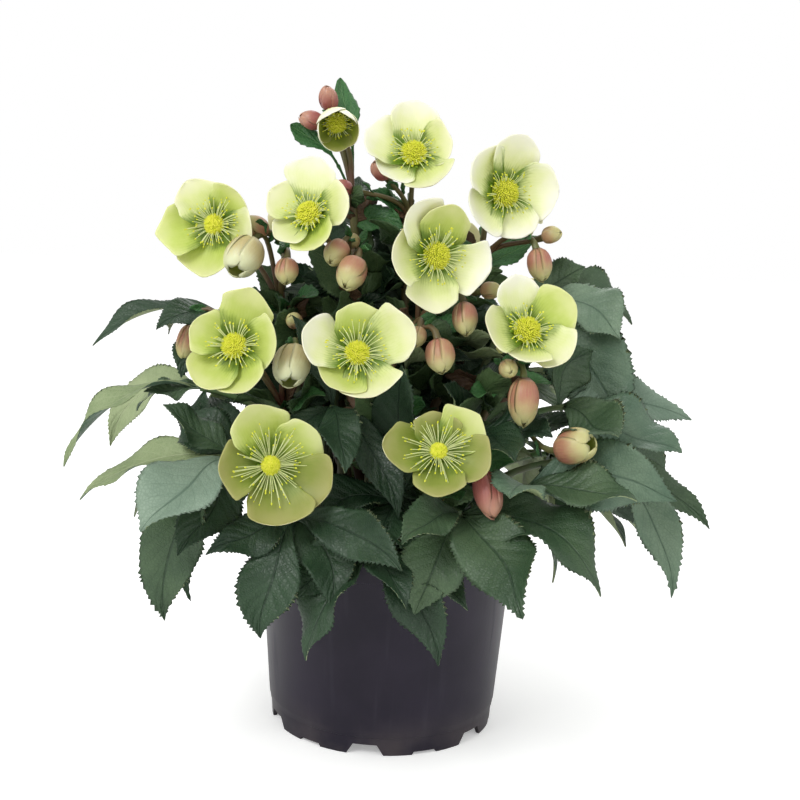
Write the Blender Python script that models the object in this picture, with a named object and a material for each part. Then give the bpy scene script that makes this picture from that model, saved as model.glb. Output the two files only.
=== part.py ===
# A christmas rose (hellebore) in flower, in its round plastic nursery pot.
#
# Flowering stems rise from the crown in the middle of the compost. Each ends in a spray of
# flowers, buds and bracts on thin stalks. Compound leaves on long stalks spread round them
# and hang over the rim. Units are metres, +Z is up and the front faces -Y. The origin is on
# the ground under the middle of the pot. Places in the tables below are in millimetres.

import math
import random

import bmesh
import bpy
from mathutils import Matrix, Vector
from mathutils.bvhtree import BVHTree

MM = 0.001
GAP = 0.3 * MM          # air between a piece and its neighbour
UP = Vector((0, 0, 1))

# Pot
POT_HEIGHT = 120 * MM
RIM_RADIUS = 85 * MM
RIM_BAND = 12 * MM      # height of the band round the top
WALL_TOP_RADIUS = 77.3 * MM
SHOULDER_RADIUS = 70.2 * MM
SHOULDER_HEIGHT = 15 * MM
FOOT_RADIUS = 68.3 * MM
STEP_HEIGHT = 11 * MM   # line round the wall just above the feet
WALL = 1.6 * MM
SKIRT = 2.4 * MM        # thickness of the ring that the pot stands on
FLOOR_UNDERSIDE = 7.4 * MM
FLOOR = 2 * MM
POT_SIDES = 42
NOTCHES = 6
NOTCH_HEIGHT = 6.6 * MM
NOTCH_FOOT_WIDTH = 22 * MM
NOTCH_TOP_WIDTH = 14 * MM
NOTCH_TURN = -6.9       # degrees from the front to the nearest notch
RECESS_HEIGHT = 2 * MM  # shallow recess in the middle of each foot
RECESS_WIDTH = 15.5 * MM
DRAIN_RADIUS = 5 * MM
DRAIN_REACH = 50 * MM

# Compost
COMPOST_TOP = 108 * MM
COMPOST_FLAT = 66 * MM  # radius of the level middle
COMPOST_EDGE_DROP = 4 * MM
COMPOST_SIDES = 24

# Stems, stalks and blades
STEM_SIDES = 6
STALK_SIDES = 3
LEAF_STALK_SIDES = 3
STEM_RADII = (3.9 * MM, 2.9 * MM)
NECK_LENGTH = 16 * MM   # the stem runs on this far inside its spray
STALK_RADII = (1.9 * MM, 1.5 * MM)
STALK_PULL = 0.45       # how long a stalk keeps its first and last direction
STALK_SINK = 2.5 * MM   # a stalk ends this far inside its flower or bud
LEAF_STALK_RADII = (2.7 * MM, 1.9 * MM)
BLADE_THICK = 1.3 * MM
BLADE_RINGS = (0.0, 0.26, 0.56, 0.83)
BLADE_SHAPE = (0.10, 0.52, 1.0, 0.70)
BRACT_RINGS = (0.0, 0.3, 0.7)
BRACT_SHAPE = (0.3, 0.95, 0.75)
BLADE_FOLD = 0.16       # how far the rib lies below the edges, of the half width

# Flowers
SEPALS = 5
LOBE = (1.0, 0.95, 0.72, 0.95)   # reach of the edge from one sepal's tip to the next
DEEP_BEND = 80          # a flower bent more than this is a half-open bell
SHEET_THICK = 1.4 * MM
BOSS_SIDES = 6
BOSS = ((5.0 * MM, -0.4 * MM), (7.6 * MM, 5.5 * MM), (4.6 * MM, 9.0 * MM))
BUD_SIDES = 5
BUD_SHAPE = ((0.0, 0.42), (0.33, 1.0), (0.68, 0.84), (1.0, 0.2))

# Flowering stems: foot on the compost, then the tip where the spray starts.
STEMS = {
    "top": ((-9, 6), (-27, 2, 306)),
    "upper_left": ((-9, -5), (-27, -16, 252)),
    "upper_middle": ((2, 3), (6, 6, 292)),
    "upper_right": ((12, 3), (46, 6, 268)),
    "left": ((-20, -1), (-62, -8, 238)),
    "left_front": ((-20, -14), (-56, -36, 186)),
    "middle": ((4, -9), (12, -22, 230)),
    "centre": ((-4, -19), (-8, -44, 184)),
    "right": ((19, -10), (54, -34, 198)),
    "front_left": ((-15, -27), (-42, -58, 140)),
    "front_right": ((9, -24), (26, -56, 146)),
    "back_left": ((-14, 17), (-48, 46, 232)),
    "back": ((1, 18), (6, 58, 226)),
    "back_right": ((16, 16), (52, 44, 222)),
}

# Flowers: middle, turn (0 faces the front, 90 the viewer's right), rise above level, the
# direction of one sepal counted from the viewer's right, the sepal's length and its bend.
FLOWERS = {
    "top": [((-37, -2, 357), 12, 2, 40, 22, 100)],
    "upper_left": [((-49, -45, 308), -20, 28, 81, 31, 48)],
    "upper_middle": [((7, -20, 344), 0, 27, 90, 31.5, 45)],
    "upper_right": [((59, -15, 325), 24, 4, 67, 34, 45)],
    "left": [((-104, -30, 301), -12, 6, 56, 31, 42)],
    "left_front": [((-86, -74, 237), -8, 18, 80, 31.5, 52)],
    "middle": [((20, -60, 290), 22, 4, 52, 35, 42)],
    "centre": [((-20, -80, 236), 8, 24, 86, 34.5, 44)],
    "right": [((72, -66, 250), 14, 28, 92, 31.5, 50), ((93, 16, 232), 98, 14, 30, 30, 48)],
    "front_left": [((-64, -98, 177), 16, 14, 115, 37, 40)],
    "front_right": [((26, -98, 187), 2, 34, 110, 32.5, 42)],
    "back_left": [
        ((-56, 54, 306), 222, 24, 20, 31, 45),
        ((-102, 66, 219), 248, 12, 60, 31, 44),
        ((-62, 112, 186), 206, 10, 85, 32, 46),
    ],
    "back": [
        ((26, 84, 283), 172, 30, 35, 32, 44),
        ((-16, 118, 236), 184, 18, 75, 33, 42),
    ],
    "back_right": [
        ((64, 54, 317), 130, 24, 50, 30, 46),
        ((88, 72, 240), 122, 18, 10, 31, 45),
        ((50, 114, 208), 150, 14, 65, 32, 44),
    ],
}

# Buds: middle of the foot, turn and rise of the tip, length, greatest radius. The widest ones
# have begun to open.
BUDS = {
    "top": [((-46, 9, 370), -30, 62, 15, 6), ((-50, 3, 360), -78, 14, 14, 6)],
    "upper_left": [((-31, -44, 294), -30, -40, 16, 7), ((-22, -54, 286), -25, -48, 20, 8.5)],
    "upper_middle": [((-8, -12, 331), -50, 40, 13, 5.5)],
    "upper_right": [((80, -22, 294), 40, -70, 19, 7), ((84, -14, 300), 60, 20, 12, 5)],
    "left": [
        ((-76, -22, 298), -55, 18, 17, 6.5),
        ((-62, -42, 284), 0, -62, 15, 6.5),
        ((-82, -36, 293), -28, -42, 24, 10.5),
    ],
    "left_front": [((-118, -28, 243), -40, -72, 21, 6), ((-55, -62, 237), -6, -48, 24, 10)],
    "middle": [((38, -54, 264), 10, -60, 19, 7), ((48, -44, 270), 60, 10, 12, 5)],
    "centre": [((24, -70, 245), 20, -62, 19, 8), ((14, -62, 250), -20, -50, 12, 5)],
    "right": [
        ((72, -76, 228), 4, -78, 26, 8.5),
        ((62, -70, 232), 10, -10, 12, 5),
        ((92, -78, 187), 50, 20, 23, 10),
    ],
    "front_right": [((50, -96, 178), 30, -58, 26, 7.5)],
    "back_left": [((-62, 84, 250), 215, -55, 20, 8), ((-116, 66, 228), 240, -40, 24, 10)],
    "back": [((34, 82, 272), 165, -40, 18, 7), ((-18, 92, 256), 200, -50, 19, 8)],
    "back_right": [((88, 84, 236), 130, -60, 20, 8), ((106, 84, 222), 110, -40, 24, 10)],
}

# Bracts, which leave the stem where the spray starts: tip, droop over the length, width.
BRACTS = {
    "top": [((-37, 16, 391), 25, 17), ((-66, 4, 361), 40, 13)],
    "upper_middle": [((-16, -4, 324), 40, 13)],
    "upper_right": [((88, 10, 300), 45, 17), ((30, -18, 302), 30, 13)],
    "left": [((-46, -42, 264), 50, 15), ((-86, -32, 262), 50, 14)],
    "left_front": [((-38, -62, 212), 50, 15)],
    "middle": [((42, -36, 250), 50, 16)],
    "centre": [((18, -64, 206), 60, 17)],
    "right": [((90, -56, 224), 50, 18), ((46, -64, 214), 45, 14)],
    "front_right": [((68, -88, 184), 55, 18), ((40, -94, 162), 50, 13)],
    "back_left": [((-82, 42, 256), 50, 17), ((-32, 76, 250), 50, 15)],
    "back": [((36, 84, 246), 55, 17)],
    "back_right": [((86, 38, 246), 50, 17), ((48, 78, 240), 50, 15)],
}

# Leaves that the front view shows: the hub where the leaflets meet, then each leaflet's tip,
# how far its rib bends down along its length in degrees, and its width.
LEAVES = {
    "left_high": (
        (-100, -14, 248),
        [(-180, -12, 226, 80, 27), (-136, -50, 231, 70, 24), (-146, 38, 232, 60, 28)],
    ),
    "left_middle": (
        (-112, -30, 206),
        [(-184, -60, 162, 115, 33), (-172, 8, 160, 105, 32), (-152, -26, 190, 110, 22)],
    ),
    "left_low": (
        (-88, -74, 174),
        [
            (-124, -138, 150, 75, 42),
            (-118, -98, 84, 95, 36),
            (-112, -60, 86, 95, 16),
            (-178, -52, 142, 70, 24),
            (-124, -76, 207, 30, 24),
        ],
    ),
    "front_left": (
        (-50, -90, 146),
        [(-66, -128, 89, 85, 33), (8, -146, 135, 60, 27), (-92, -122, 132, 70, 26)],
    ),
    "front": (
        (-6, -94, 132),
        [(-42, -124, 78, 75, 32), (28, -122, 77, 70, 30), (12, -150, 118, 80, 22)],
    ),
    "front_right": (
        (40, -88, 152),
        [(66, -158, 118, 50, 42), (118, -132, 126, 65, 42), (6, -138, 150, 70, 26)],
    ),
    "right_low": (
        (76, -78, 166),
        [(154, -94, 160, 60, 44), (130, -116, 172, 40, 30), (64, -130, 176, 40, 30)],
    ),
    "right": (
        (122, -22, 172),
        [(161, -58, 100, 105, 30), (190, -40, 136, 60, 22), (178, 34, 128, 80, 34)],
    ),
    "right_middle": (
        (98, -46, 206),
        [(167, -60, 186, 45, 40), (180, -14, 196, 40, 28), (128, -94, 196, 50, 38)],
    ),
    "right_high": (
        (84, -6, 264),
        [(144, 0, 252, 75, 30), (128, -40, 246, 60, 32), (120, 40, 256, 50, 28)],
    ),
    "between_left": (
        (-34, -54, 202),
        [
            (-18, -110, 178, 70, 28),
            (6, -92, 148, 85, 26),
            (-56, -84, 152, 85, 24),
            (-58, -60, 226, 50, 22),
        ],
    ),
    "between_right": (
        (50, -50, 190),
        [
            (64, -112, 196, 60, 28),
            (88, -80, 196, 70, 28),
            (36, -92, 140, 90, 24),
            (30, -62, 234, 40, 24),
        ],
    ),
    "low_middle": (
        (6, -66, 152),
        [(-38, -98, 150, 60, 26), (48, -100, 136, 60, 26), (2, -84, 206, 40, 30), (30, -74, 196, 40, 24)],
    ),
    "screen_left": (
        (-46, 22, 182),
        [(-82, 16, 236, 40, 30), (-40, 24, 258, 30, 34), (-106, 10, 196, 60, 28), (-12, 26, 234, 40, 28)],
    ),
    "screen_right": (
        (46, 20, 182),
        [(26, 26, 246, 40, 28), (58, 24, 256, 30, 32), (90, 18, 236, 50, 28), (12, 24, 206, 50, 24)],
    ),
    "screen_middle": (
        (-2, 38, 204),
        [(-24, 33, 275, 30, 30), (18, 37, 281, 30, 30), (46, 36, 261, 50, 26), (-55, 33, 263, 50, 26)],
    ),
}

# The other leaves stand in rings: turn of the first leaf, turn between leaves and how many,
# then the hub's reach and height, the leaflets' length, rise, droop and number, and the fan
# that they spread over.
RINGS = {
    "back_low": (98, 33.5, 6, 98, 162, 84, -6, 66, 5, 180),
    "back_high": (132, 48, 3, 84, 212, 76, 8, 62, 5, 190),
    "side": (82, 200, 2, 56, 176, 60, 40, 56, 3, 90),
    "inner": (75, 42, 5, 54, 165, 52, 24, 60, 3, 110),
}
RING_WIDTH = 0.4        # of the leaflet's length
BANK = 40               # degrees that a blade's upper side leans from level to its leaf's face
LEAFLET_STEP = 1.5 * MM # the leaflets leave the stalk one after another
HUB_STUB = 4 * MM       # the stalk runs on this far past its hub
LEAF_FOOT_REACH = 42 * MM
TURN_TRIES = (0, 8, -8, 16, -16, 24, -24, 32, -32)
SWING_TRIES = (0, 14, -14)
LIFT_TRIES = (0, 6, -6, 12, -12, 18, -18, 26, -26)


def at(place):
    """A place in the tables' millimetres as a vector in metres."""
    return Vector(place) * MM


def aim(turn, rise):
    """Unit direction: turn 0 is the front and 90 the viewer's right."""
    turn, rise = math.radians(turn), math.radians(rise)
    level = math.cos(rise)
    return Vector((math.sin(turn) * level, -math.cos(turn) * level, math.sin(rise)))


def bezier(start, pull, push, end, spans):
    """Points and unit tangents along a cubic curve."""
    points, tangents = [], []
    for i in range(spans + 1):
        t = i / spans
        s = 1 - t
        points.append(start * s**3 + pull * 3 * s * s * t + push * 3 * s * t * t + end * t**3)
        slope = (pull - start) * s * s + (push - pull) * 2 * s * t + (end - push) * t * t
        tangents.append(slope.normalized())
    return points, tangents


def tube(points, tangents, radii, sides):
    """Closed tube along the points, one radius for each."""
    verts, faces = [], []
    side = tangents[0].orthogonal()
    for point, tangent, radius in zip(points, tangents, radii):
        side = (side - tangent * side.dot(tangent)).normalized()
        other = tangent.cross(side)
        for k in range(sides):
            angle = 2 * math.pi * k / sides
            verts.append(point + (side * math.cos(angle) + other * math.sin(angle)) * radius)
    for i in range(len(points) - 1):
        for k in range(sides):
            a = i * sides + k
            b = i * sides + (k + 1) % sides
            faces.append((a, b, b + sides, a + sides))
    faces.append(tuple(reversed(range(sides))))
    faces.append(tuple(range(len(verts) - sides, len(verts))))
    return verts, faces


def taper(ends, count):
    """Radii that fall evenly from the first end to the second."""
    first, last = ends
    return [first + (last - first) * i / (count - 1) for i in range(count)]


def rib(hub, tip, droop, stations):
    """Points and tangents of an arc that bends down from hub to tip."""
    chord = tip - hub
    ahead = Vector((chord.x, chord.y, 0)).normalized()
    pitch = math.atan2(chord.z, math.hypot(chord.x, chord.y))
    bend = math.radians(droop)
    start = pitch + bend / 2
    radius = chord.length / (2 * math.sin(bend / 2))
    points, tangents = [], []
    for s in stations:
        slope = start - bend * s
        run = radius * (math.sin(start) - math.sin(slope))
        rise = radius * (math.cos(slope) - math.cos(start))
        points.append(hub + ahead * run + UP * rise)
        tangents.append(ahead * math.cos(slope) + UP * math.sin(slope))
    return points, tangents


def blade(hub, tip, droop, width, looking, twist, stations, shape, spare=0.0):
    """Closed thin leaf blade whose upper side looks one way. Spare makes it larger all round."""
    points, tangents = rib(hub, tip, droop, stations + (1.0,))
    verts, faces = [], []
    for point, tangent, part in zip(points, tangents, shape):
        level = looking.cross(tangent).normalized()
        across = level * math.cos(twist) + tangent.cross(level) * math.sin(twist)
        normal = tangent.cross(across)
        half = part * width / 2 + spare
        thick = BLADE_THICK / 2 + spare
        sink = normal * (BLADE_FOLD * half)
        verts += [point + across * half, point + normal * thick - sink]
        verts += [point - across * half, point - normal * thick - sink]
    verts.append(points[-1] + tangents[-1] * spare)
    for i in range(len(stations) - 1):
        for k in range(4):
            a = i * 4 + k
            b = i * 4 + (k + 1) % 4
            faces.append((a, b, b + 4, a + 4))
    last = len(verts) - 5
    faces += [(last + k, last + (k + 1) % 4, last + 4) for k in range(4)]
    faces.append((3, 2, 1, 0))
    return verts, faces


def flower_axes(facing, sepal_turn):
    """Two axes across a flower, the first along its first sepal."""
    right = UP.cross(facing).normalized()
    above = facing.cross(right)
    turn = math.radians(sepal_turn)
    first = right * math.cos(turn) + above * math.sin(turn)
    return first, facing.cross(first)


def cup(middle, facing, sepal_turn, length, bend, rings):
    """Five sepals as one closed lobed sheet, curved towards the way it faces."""
    first, second = flower_axes(facing, sepal_turn)
    bend = math.radians(bend)
    lobes = len(LOBE)
    count = SEPALS * lobes

    def spot(part, k, offset):
        slope = bend * part
        out = length / bend * math.sin(slope) - offset * math.sin(slope)
        high = length / bend * (1 - math.cos(slope)) + offset * math.cos(slope)
        angle = 2 * math.pi * k / count
        return middle + (first * math.cos(angle) + second * math.sin(angle)) * out + facing * high

    half = SHEET_THICK / 2
    verts, faces = [], []
    rim = rings * SEPALS * 2
    for offset in (half, -half):
        for ring in range(1, rings + 1):
            part = ring / (rings + 1)
            verts += [spot(part, i * lobes, offset) for i in range(SEPALS)]
    verts += [spot(LOBE[k % lobes], k, 0) for k in range(count)]
    for side in (0, 1):
        rows = [range((side * rings + r) * SEPALS, (side * rings + r + 1) * SEPALS) for r in range(rings)]
        patch = [tuple(rows[0])]
        for i in range(SEPALS):
            after = (i + 1) % SEPALS
            patch += [(a[i], b[i], b[after], a[after]) for a, b in zip(rows, rows[1:])]
            edge = [rim + (i * lobes + k) % count for k in range(-lobes // 2, lobes // 2 + 1)]
            patch += [(rows[-1][i], a, b) for a, b in zip(edge, edge[1:])]
            patch.append((rows[-1][i], edge[-1], rows[-1][after]))
        faces += patch if side == 0 else [tuple(reversed(face)) for face in patch]
    return verts, faces


def boss(middle, facing):
    """The low dome that the stamens fill."""
    points = [middle + facing * high for _, high in BOSS]
    radii = [radius for radius, _ in BOSS]
    return tube(points, [facing] * len(BOSS), radii, BOSS_SIDES)


def bud(foot, pointing, length, radius):
    """A closed bud, widest below its middle."""
    points = [foot + pointing * (length * along) for along, _ in BUD_SHAPE]
    radii = [radius * wide for _, wide in BUD_SHAPE]
    return tube(points, [pointing] * len(points), radii, BUD_SIDES)


def stalk(root, lead, end, facing):
    """A thin stalk that leaves its stem along lead and meets a flower from behind."""
    pull = (end - root).length * STALK_PULL
    points, tangents = bezier(root, root + lead * pull, end - facing * pull, end, 3)
    return tube(points, tangents, taper(STALK_RADII, len(points)), STALK_SIDES)


def plain_material(name, colour, roughness):
    """A material with one colour and roughness."""
    material = bpy.data.materials.new(name)
    material.use_nodes = True
    surface = material.node_tree.nodes["Principled BSDF"]
    surface.inputs["Base Color"].default_value = (*colour, 1)
    surface.inputs["Roughness"].default_value = roughness
    surface.inputs["Metallic"].default_value = 0.0
    return material


def add_object(name, shape, material):
    """An object in the scene from points and faces."""
    mesh = bpy.data.meshes.new(name)
    mesh.from_pydata([tuple(v) for v in shape[0]], [], shape[1])
    mesh.materials.append(material)
    item = bpy.data.objects.new(name, mesh)
    bpy.context.scene.collection.objects.link(item)
    return item


def into_triangles(mesh):
    """Splits every face into flat triangles, for joins that fail with bent faces."""
    shape = bmesh.new()
    shape.from_mesh(mesh)
    bmesh.ops.triangulate(shape, faces=shape.faces[:])
    shape.to_mesh(mesh)
    shape.free()


def tidy(mesh):
    """Drops needless corners and closed pockets from a joined mesh. Says if it is closed."""
    shape = bmesh.new()
    shape.from_mesh(mesh)
    idle = [vert for vert in shape.verts if len(vert.link_edges) == 2]
    bmesh.ops.dissolve_verts(shape, verts=idle)
    bmesh.ops.triangulate(shape, faces=shape.faces[:])
    left = set(shape.faces)
    while left:
        shell = [left.pop()]
        for face in shell:
            near = {other for edge in face.edges for other in edge.link_faces} & left
            left -= near
            shell += near
        volume = sum(f.verts[0].co.dot(f.verts[1].co.cross(f.verts[2].co)) for f in shell)
        if volume < 0:
            bmesh.ops.delete(shape, geom=shell, context="FACES")
    closed = all(len(edge.link_faces) == 2 for edge in shape.edges)
    shape.to_mesh(mesh)
    shape.free()
    return closed


def combine(item, pieces, operation):
    """Joins the pieces to the item, or cuts them from it, and removes them."""
    group = bpy.data.collections.new(item.name + "_pieces")
    bpy.context.scene.collection.children.link(group)
    for piece in pieces:
        bpy.context.scene.collection.objects.unlink(piece)
        group.objects.link(piece)
    modifier = item.modifiers.new("Combine", "BOOLEAN")
    modifier.operation = operation
    modifier.operand_type = "COLLECTION"
    modifier.collection = group
    modifier.material_mode = "TRANSFER"
    modifier.solver = "MANIFOLD" if operation == "UNION" else "EXACT"
    for attempt in range(2):
        bpy.context.view_layer.update()
        seen = item.evaluated_get(bpy.context.evaluated_depsgraph_get())
        joined = bpy.data.meshes.new_from_object(seen)
        if tidy(joined):
            break
        for piece in pieces + [item]:
            into_triangles(piece.data)
    item.modifiers.remove(modifier)
    item.data = joined
    for piece in pieces:
        bpy.data.objects.remove(piece)
    bpy.data.collections.remove(group)


def smooth(item):
    """Rounds the shading except at real corners."""
    item.data.shade_smooth()
    item.data.set_sharp_from_angle(angle=math.radians(40))


def tree_of(item):
    """The item's faces as a tree that finds crossings."""
    mesh = item.data
    return BVHTree.FromPolygons(
        [v.co for v in mesh.vertices], [tuple(p.vertices) for p in mesh.polygons]
    )


def clear_of(shape, placed):
    """Whether the shape crosses nothing that is already there."""
    trial = BVHTree.FromPolygons(shape[0], shape[1])
    return not any(trial.overlap(other) for other in placed)


def lathe(name, outline, sides, material):
    """A solid turned about the upright axis from an outline that starts and ends on it."""
    shape = bmesh.new()
    verts = [shape.verts.new((radius, 0, height)) for radius, height in outline]
    edges = [shape.edges.new(pair) for pair in zip(verts, verts[1:])]
    bmesh.ops.spin(
        shape, geom=verts + edges, cent=(0, 0, 0), axis=(0, 0, 1), angle=2 * math.pi, steps=sides
    )
    bmesh.ops.remove_doubles(shape, verts=shape.verts[:], dist=0.00001)
    bmesh.ops.recalc_face_normals(shape, faces=shape.faces[:])
    mesh = bpy.data.meshes.new(name)
    shape.to_mesh(mesh)
    shape.free()
    mesh.materials.append(material)
    item = bpy.data.objects.new(name, mesh)
    bpy.context.scene.collection.objects.link(item)
    return item


def wall_radius(height):
    """Outer radius of the pot's plain wall at a height."""
    top = POT_HEIGHT - RIM_BAND
    part = (height - SHOULDER_HEIGHT) / (top - SHOULDER_HEIGHT)
    return SHOULDER_RADIUS + (WALL_TOP_RADIUS - SHOULDER_RADIUS) * part


def slot_cutter(name, turn, foot_width, top_width, height, material):
    """A wedge that cuts a slot up into the pot's foot ring."""
    inner, outer = FOOT_RADIUS - 8 * MM, FOOT_RADIUS + 4 * MM
    out, across = aim(turn, 0), aim(turn + 90, 0)
    below = 1 * MM
    lean = (foot_width - top_width) / 2 / height
    verts = []
    for radius in (inner, outer):
        for level, half in ((-below, foot_width / 2 + lean * below), (height, top_width / 2)):
            verts += [out * radius + across * side + UP * level for side in (-half, half)]
    faces = [(0, 2, 3, 1), (4, 5, 7, 6), (0, 1, 5, 4), (2, 6, 7, 3), (0, 4, 6, 2), (1, 3, 7, 5)]
    return add_object(name, (verts, faces), material)


def make_pot(material):
    """The round pot: rim band, tapering wall, floor with drain holes, and notched feet."""
    band_foot = POT_HEIGHT - RIM_BAND
    inside_top = RIM_RADIUS - WALL - 0.6 * MM
    ledge = POT_HEIGHT - 7 * MM
    floor_top = FLOOR_UNDERSIDE + FLOOR
    outline = [
        (0, FLOOR_UNDERSIDE),
        (FOOT_RADIUS - SKIRT - 0.4 * MM, FLOOR_UNDERSIDE),
        (FOOT_RADIUS - SKIRT, 0),
        (FOOT_RADIUS, 0),
        (FOOT_RADIUS + 0.7 * MM, STEP_HEIGHT),
        (FOOT_RADIUS + 1.2 * MM, STEP_HEIGHT + 0.3 * MM),
        (SHOULDER_RADIUS, SHOULDER_HEIGHT),
        (WALL_TOP_RADIUS, band_foot),
        (RIM_RADIUS - 1.2 * MM, band_foot + 0.6 * MM),
        (RIM_RADIUS - 0.6 * MM, band_foot + 1.6 * MM),
        (RIM_RADIUS, POT_HEIGHT - 1.4 * MM),
        (RIM_RADIUS - 0.7 * MM, POT_HEIGHT),
        (inside_top + 0.4 * MM, POT_HEIGHT),
        (inside_top, POT_HEIGHT - 0.8 * MM),
        (inside_top - 0.6 * MM, ledge),
        (WALL_TOP_RADIUS - WALL, ledge - 4 * MM),
        (SHOULDER_RADIUS - WALL, SHOULDER_HEIGHT),
        (FOOT_RADIUS - WALL - 1 * MM, floor_top),
        (0, floor_top),
    ]
    pot = lathe("pot", outline, POT_SIDES, material)
    cutters = []
    for k in range(NOTCHES):
        turn = NOTCH_TURN + 360 / NOTCHES * k
        foot_turn = turn + 180 / NOTCHES
        cutters.append(
            slot_cutter("notch", turn, NOTCH_FOOT_WIDTH, NOTCH_TOP_WIDTH, NOTCH_HEIGHT, material)
        )
        cutters.append(
            slot_cutter(
                "recess", foot_turn, RECESS_WIDTH, RECESS_WIDTH - 2 * MM, RECESS_HEIGHT, material
            )
        )
        middle = aim(foot_turn, 0) * DRAIN_REACH + UP * (floor_top + 1 * MM)
        drain = tube([middle - UP * 5 * MM, middle], [UP, UP], [DRAIN_RADIUS] * 2, 8)
        cutters.append(add_object("drain", drain, material))
    combine(pot, cutters, "DIFFERENCE")
    return pot


def make_compost(material):
    """The compost: it fills the pot with a hair's gap, level in the middle."""
    foot = FLOOR_UNDERSIDE + FLOOR + GAP
    edge_top = COMPOST_TOP - COMPOST_EDGE_DROP
    slack = WALL + 2 * GAP
    outline = [
        (0, foot),
        (FOOT_RADIUS - slack - 1.5 * MM, foot),
        (wall_radius(SHOULDER_HEIGHT) - slack, SHOULDER_HEIGHT + 1 * MM),
        (wall_radius(edge_top) - slack, edge_top),
        (COMPOST_FLAT, COMPOST_TOP),
        (0, COMPOST_TOP),
    ]
    return lathe("compost", outline, COMPOST_SIDES, material)


def stem_line(name):
    """Points and tangents of a flowering stem from the compost to its tip."""
    (foot_x, foot_y), tip = STEMS[name]
    foot = Vector((foot_x * MM, foot_y * MM, COMPOST_TOP + GAP))
    tip = at(tip)
    height = tip.z - foot.z
    lean = Vector((tip.x - foot.x, tip.y - foot.y, 0))
    push = tip - UP * (height * 0.4) - lean * 0.45
    return bezier(foot, foot + UP * (height * 0.35), push, tip, 5)


def make_stem(name, material):
    """One flowering stem, cut flat on the compost and below its spray."""
    points, tangents = stem_line(name)
    return add_object(
        "stem_" + name, tube(points, tangents, taper(STEM_RADII, len(points)), STEM_SIDES), material
    )


def make_spray(name, materials):
    """The flowers, buds and bracts on one stem, joined to the end of it."""
    points, tangents = stem_line(name)
    lead = tangents[-1]
    foot = points[-1] + lead * GAP
    neck = [foot, foot + lead * NECK_LENGTH / 2, foot + lead * NECK_LENGTH]
    neck_radii = [STEM_RADII[1], STEM_RADII[1], STEM_RADII[1] * 0.8]
    spray = add_object("spray_" + name, tube(neck, [lead] * 3, neck_radii, STEM_SIDES), materials["stem"])
    pieces = []

    def join(shape, kind):
        pieces.append(add_object("piece", shape, materials[kind]))

    flowers, buds, bracts = FLOWERS.get(name, []), BUDS.get(name, []), BRACTS.get(name, [])
    count = len(flowers) + len(buds) + len(bracts)
    roots = iter([foot + lead * (NECK_LENGTH * (0.4 + 0.5 * i / count)) for i in range(count)])
    for middle, turn, rise, sepal_turn, length, bend in flowers:
        facing = aim(turn, rise)
        rings = 1 if bend < DEEP_BEND else 3
        join(stalk(next(roots), lead, at(middle) + facing * STALK_SINK, facing), "stem")
        join(cup(at(middle), facing, sepal_turn, length * MM, bend, rings), "sepal")
        if bend < DEEP_BEND:
            join(boss(at(middle), facing), "stamen")
    for start, turn, rise, length, radius in buds:
        pointing = aim(turn, rise)
        join(stalk(next(roots), lead, at(start) + pointing * STALK_SINK, pointing), "stem")
        join(bud(at(start), pointing, length * MM, radius * MM), "bud")
    for tip, droop, width in bracts:
        shape = blade(next(roots), at(tip), droop, width * MM, UP, 0, BRACT_RINGS, BRACT_SHAPE)
        join(shape, "leaf")
    combine(spray, pieces, "UNION")
    return spray


def leaf_stalk(hub, turn, spare=0.0):
    """A leaf's stalk from the compost up and out to its hub, and the way it points there."""
    foot = aim(turn, 0) * LEAF_FOOT_REACH + UP * (COMPOST_TOP + GAP)
    height = hub.z - foot.z
    out = Vector((hub.x - foot.x, hub.y - foot.y, 0))
    push = hub - out * 0.4 - UP * (height * 0.05)
    points, tangents = bezier(foot, foot + UP * (height * 0.75), push, hub, 5)
    points.append(hub + tangents[-1] * HUB_STUB)
    tangents.append(tangents[-1])
    radii = [radius + spare for radius in taper(LEAF_STALK_RADII, len(points))]
    return tube(points, tangents, radii, LEAF_STALK_SIDES), tangents[-1]


def tip_tries(hub, tip):
    """Places for a leaflet's tip: its own, then lifted and swung about the hub."""
    for swing in SWING_TRIES:
        turned = hub + Matrix.Rotation(math.radians(swing), 3, "Z") @ (tip - hub)
        for lift in LIFT_TRIES:
            yield turned + UP * (lift * MM)


def make_leaf(name, hub, face, leaflets, placed, material):
    """One compound leaf. What would touch a neighbour is turned or lifted, or left out."""
    draw = random.Random(name)
    home_turn = math.degrees(math.atan2(hub.x, -hub.y))
    for shift in TURN_TRIES:
        if clear_of(leaf_stalk(hub, home_turn + shift, GAP)[0], placed):
            break
    else:
        return None
    foot_and_stalk, lead = leaf_stalk(hub, home_turn + shift)
    looking = UP * math.cos(math.radians(BANK)) + face * math.sin(math.radians(BANK))
    blades = []
    for i, (tip, droop, width) in enumerate(leaflets):
        root = hub + lead * (HUB_STUB * 0.6 - LEAFLET_STEP * i)
        twist = math.radians(draw.uniform(-12, 12))
        for end in tip_tries(hub, tip):
            form = (root, end, droop, width, looking, twist, BLADE_RINGS, BLADE_SHAPE)
            if clear_of(blade(*form, GAP), placed):
                blades.append(blade(*form))
                break
    if len(blades) < 2:
        return None
    leaf = add_object("leaf_" + name, foot_and_stalk, material)
    combine(leaf, [add_object("piece", shape, material) for shape in blades], "UNION")
    return leaf


def shown_leaves():
    """Names, hubs, faces and leaflets of the leaves that the front view shows."""
    for name, (hub, rows) in LEAVES.items():
        yield name, at(hub), aim(0, 0), [(at(row[:3]), row[3], row[4] * MM) for row in rows]


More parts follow.
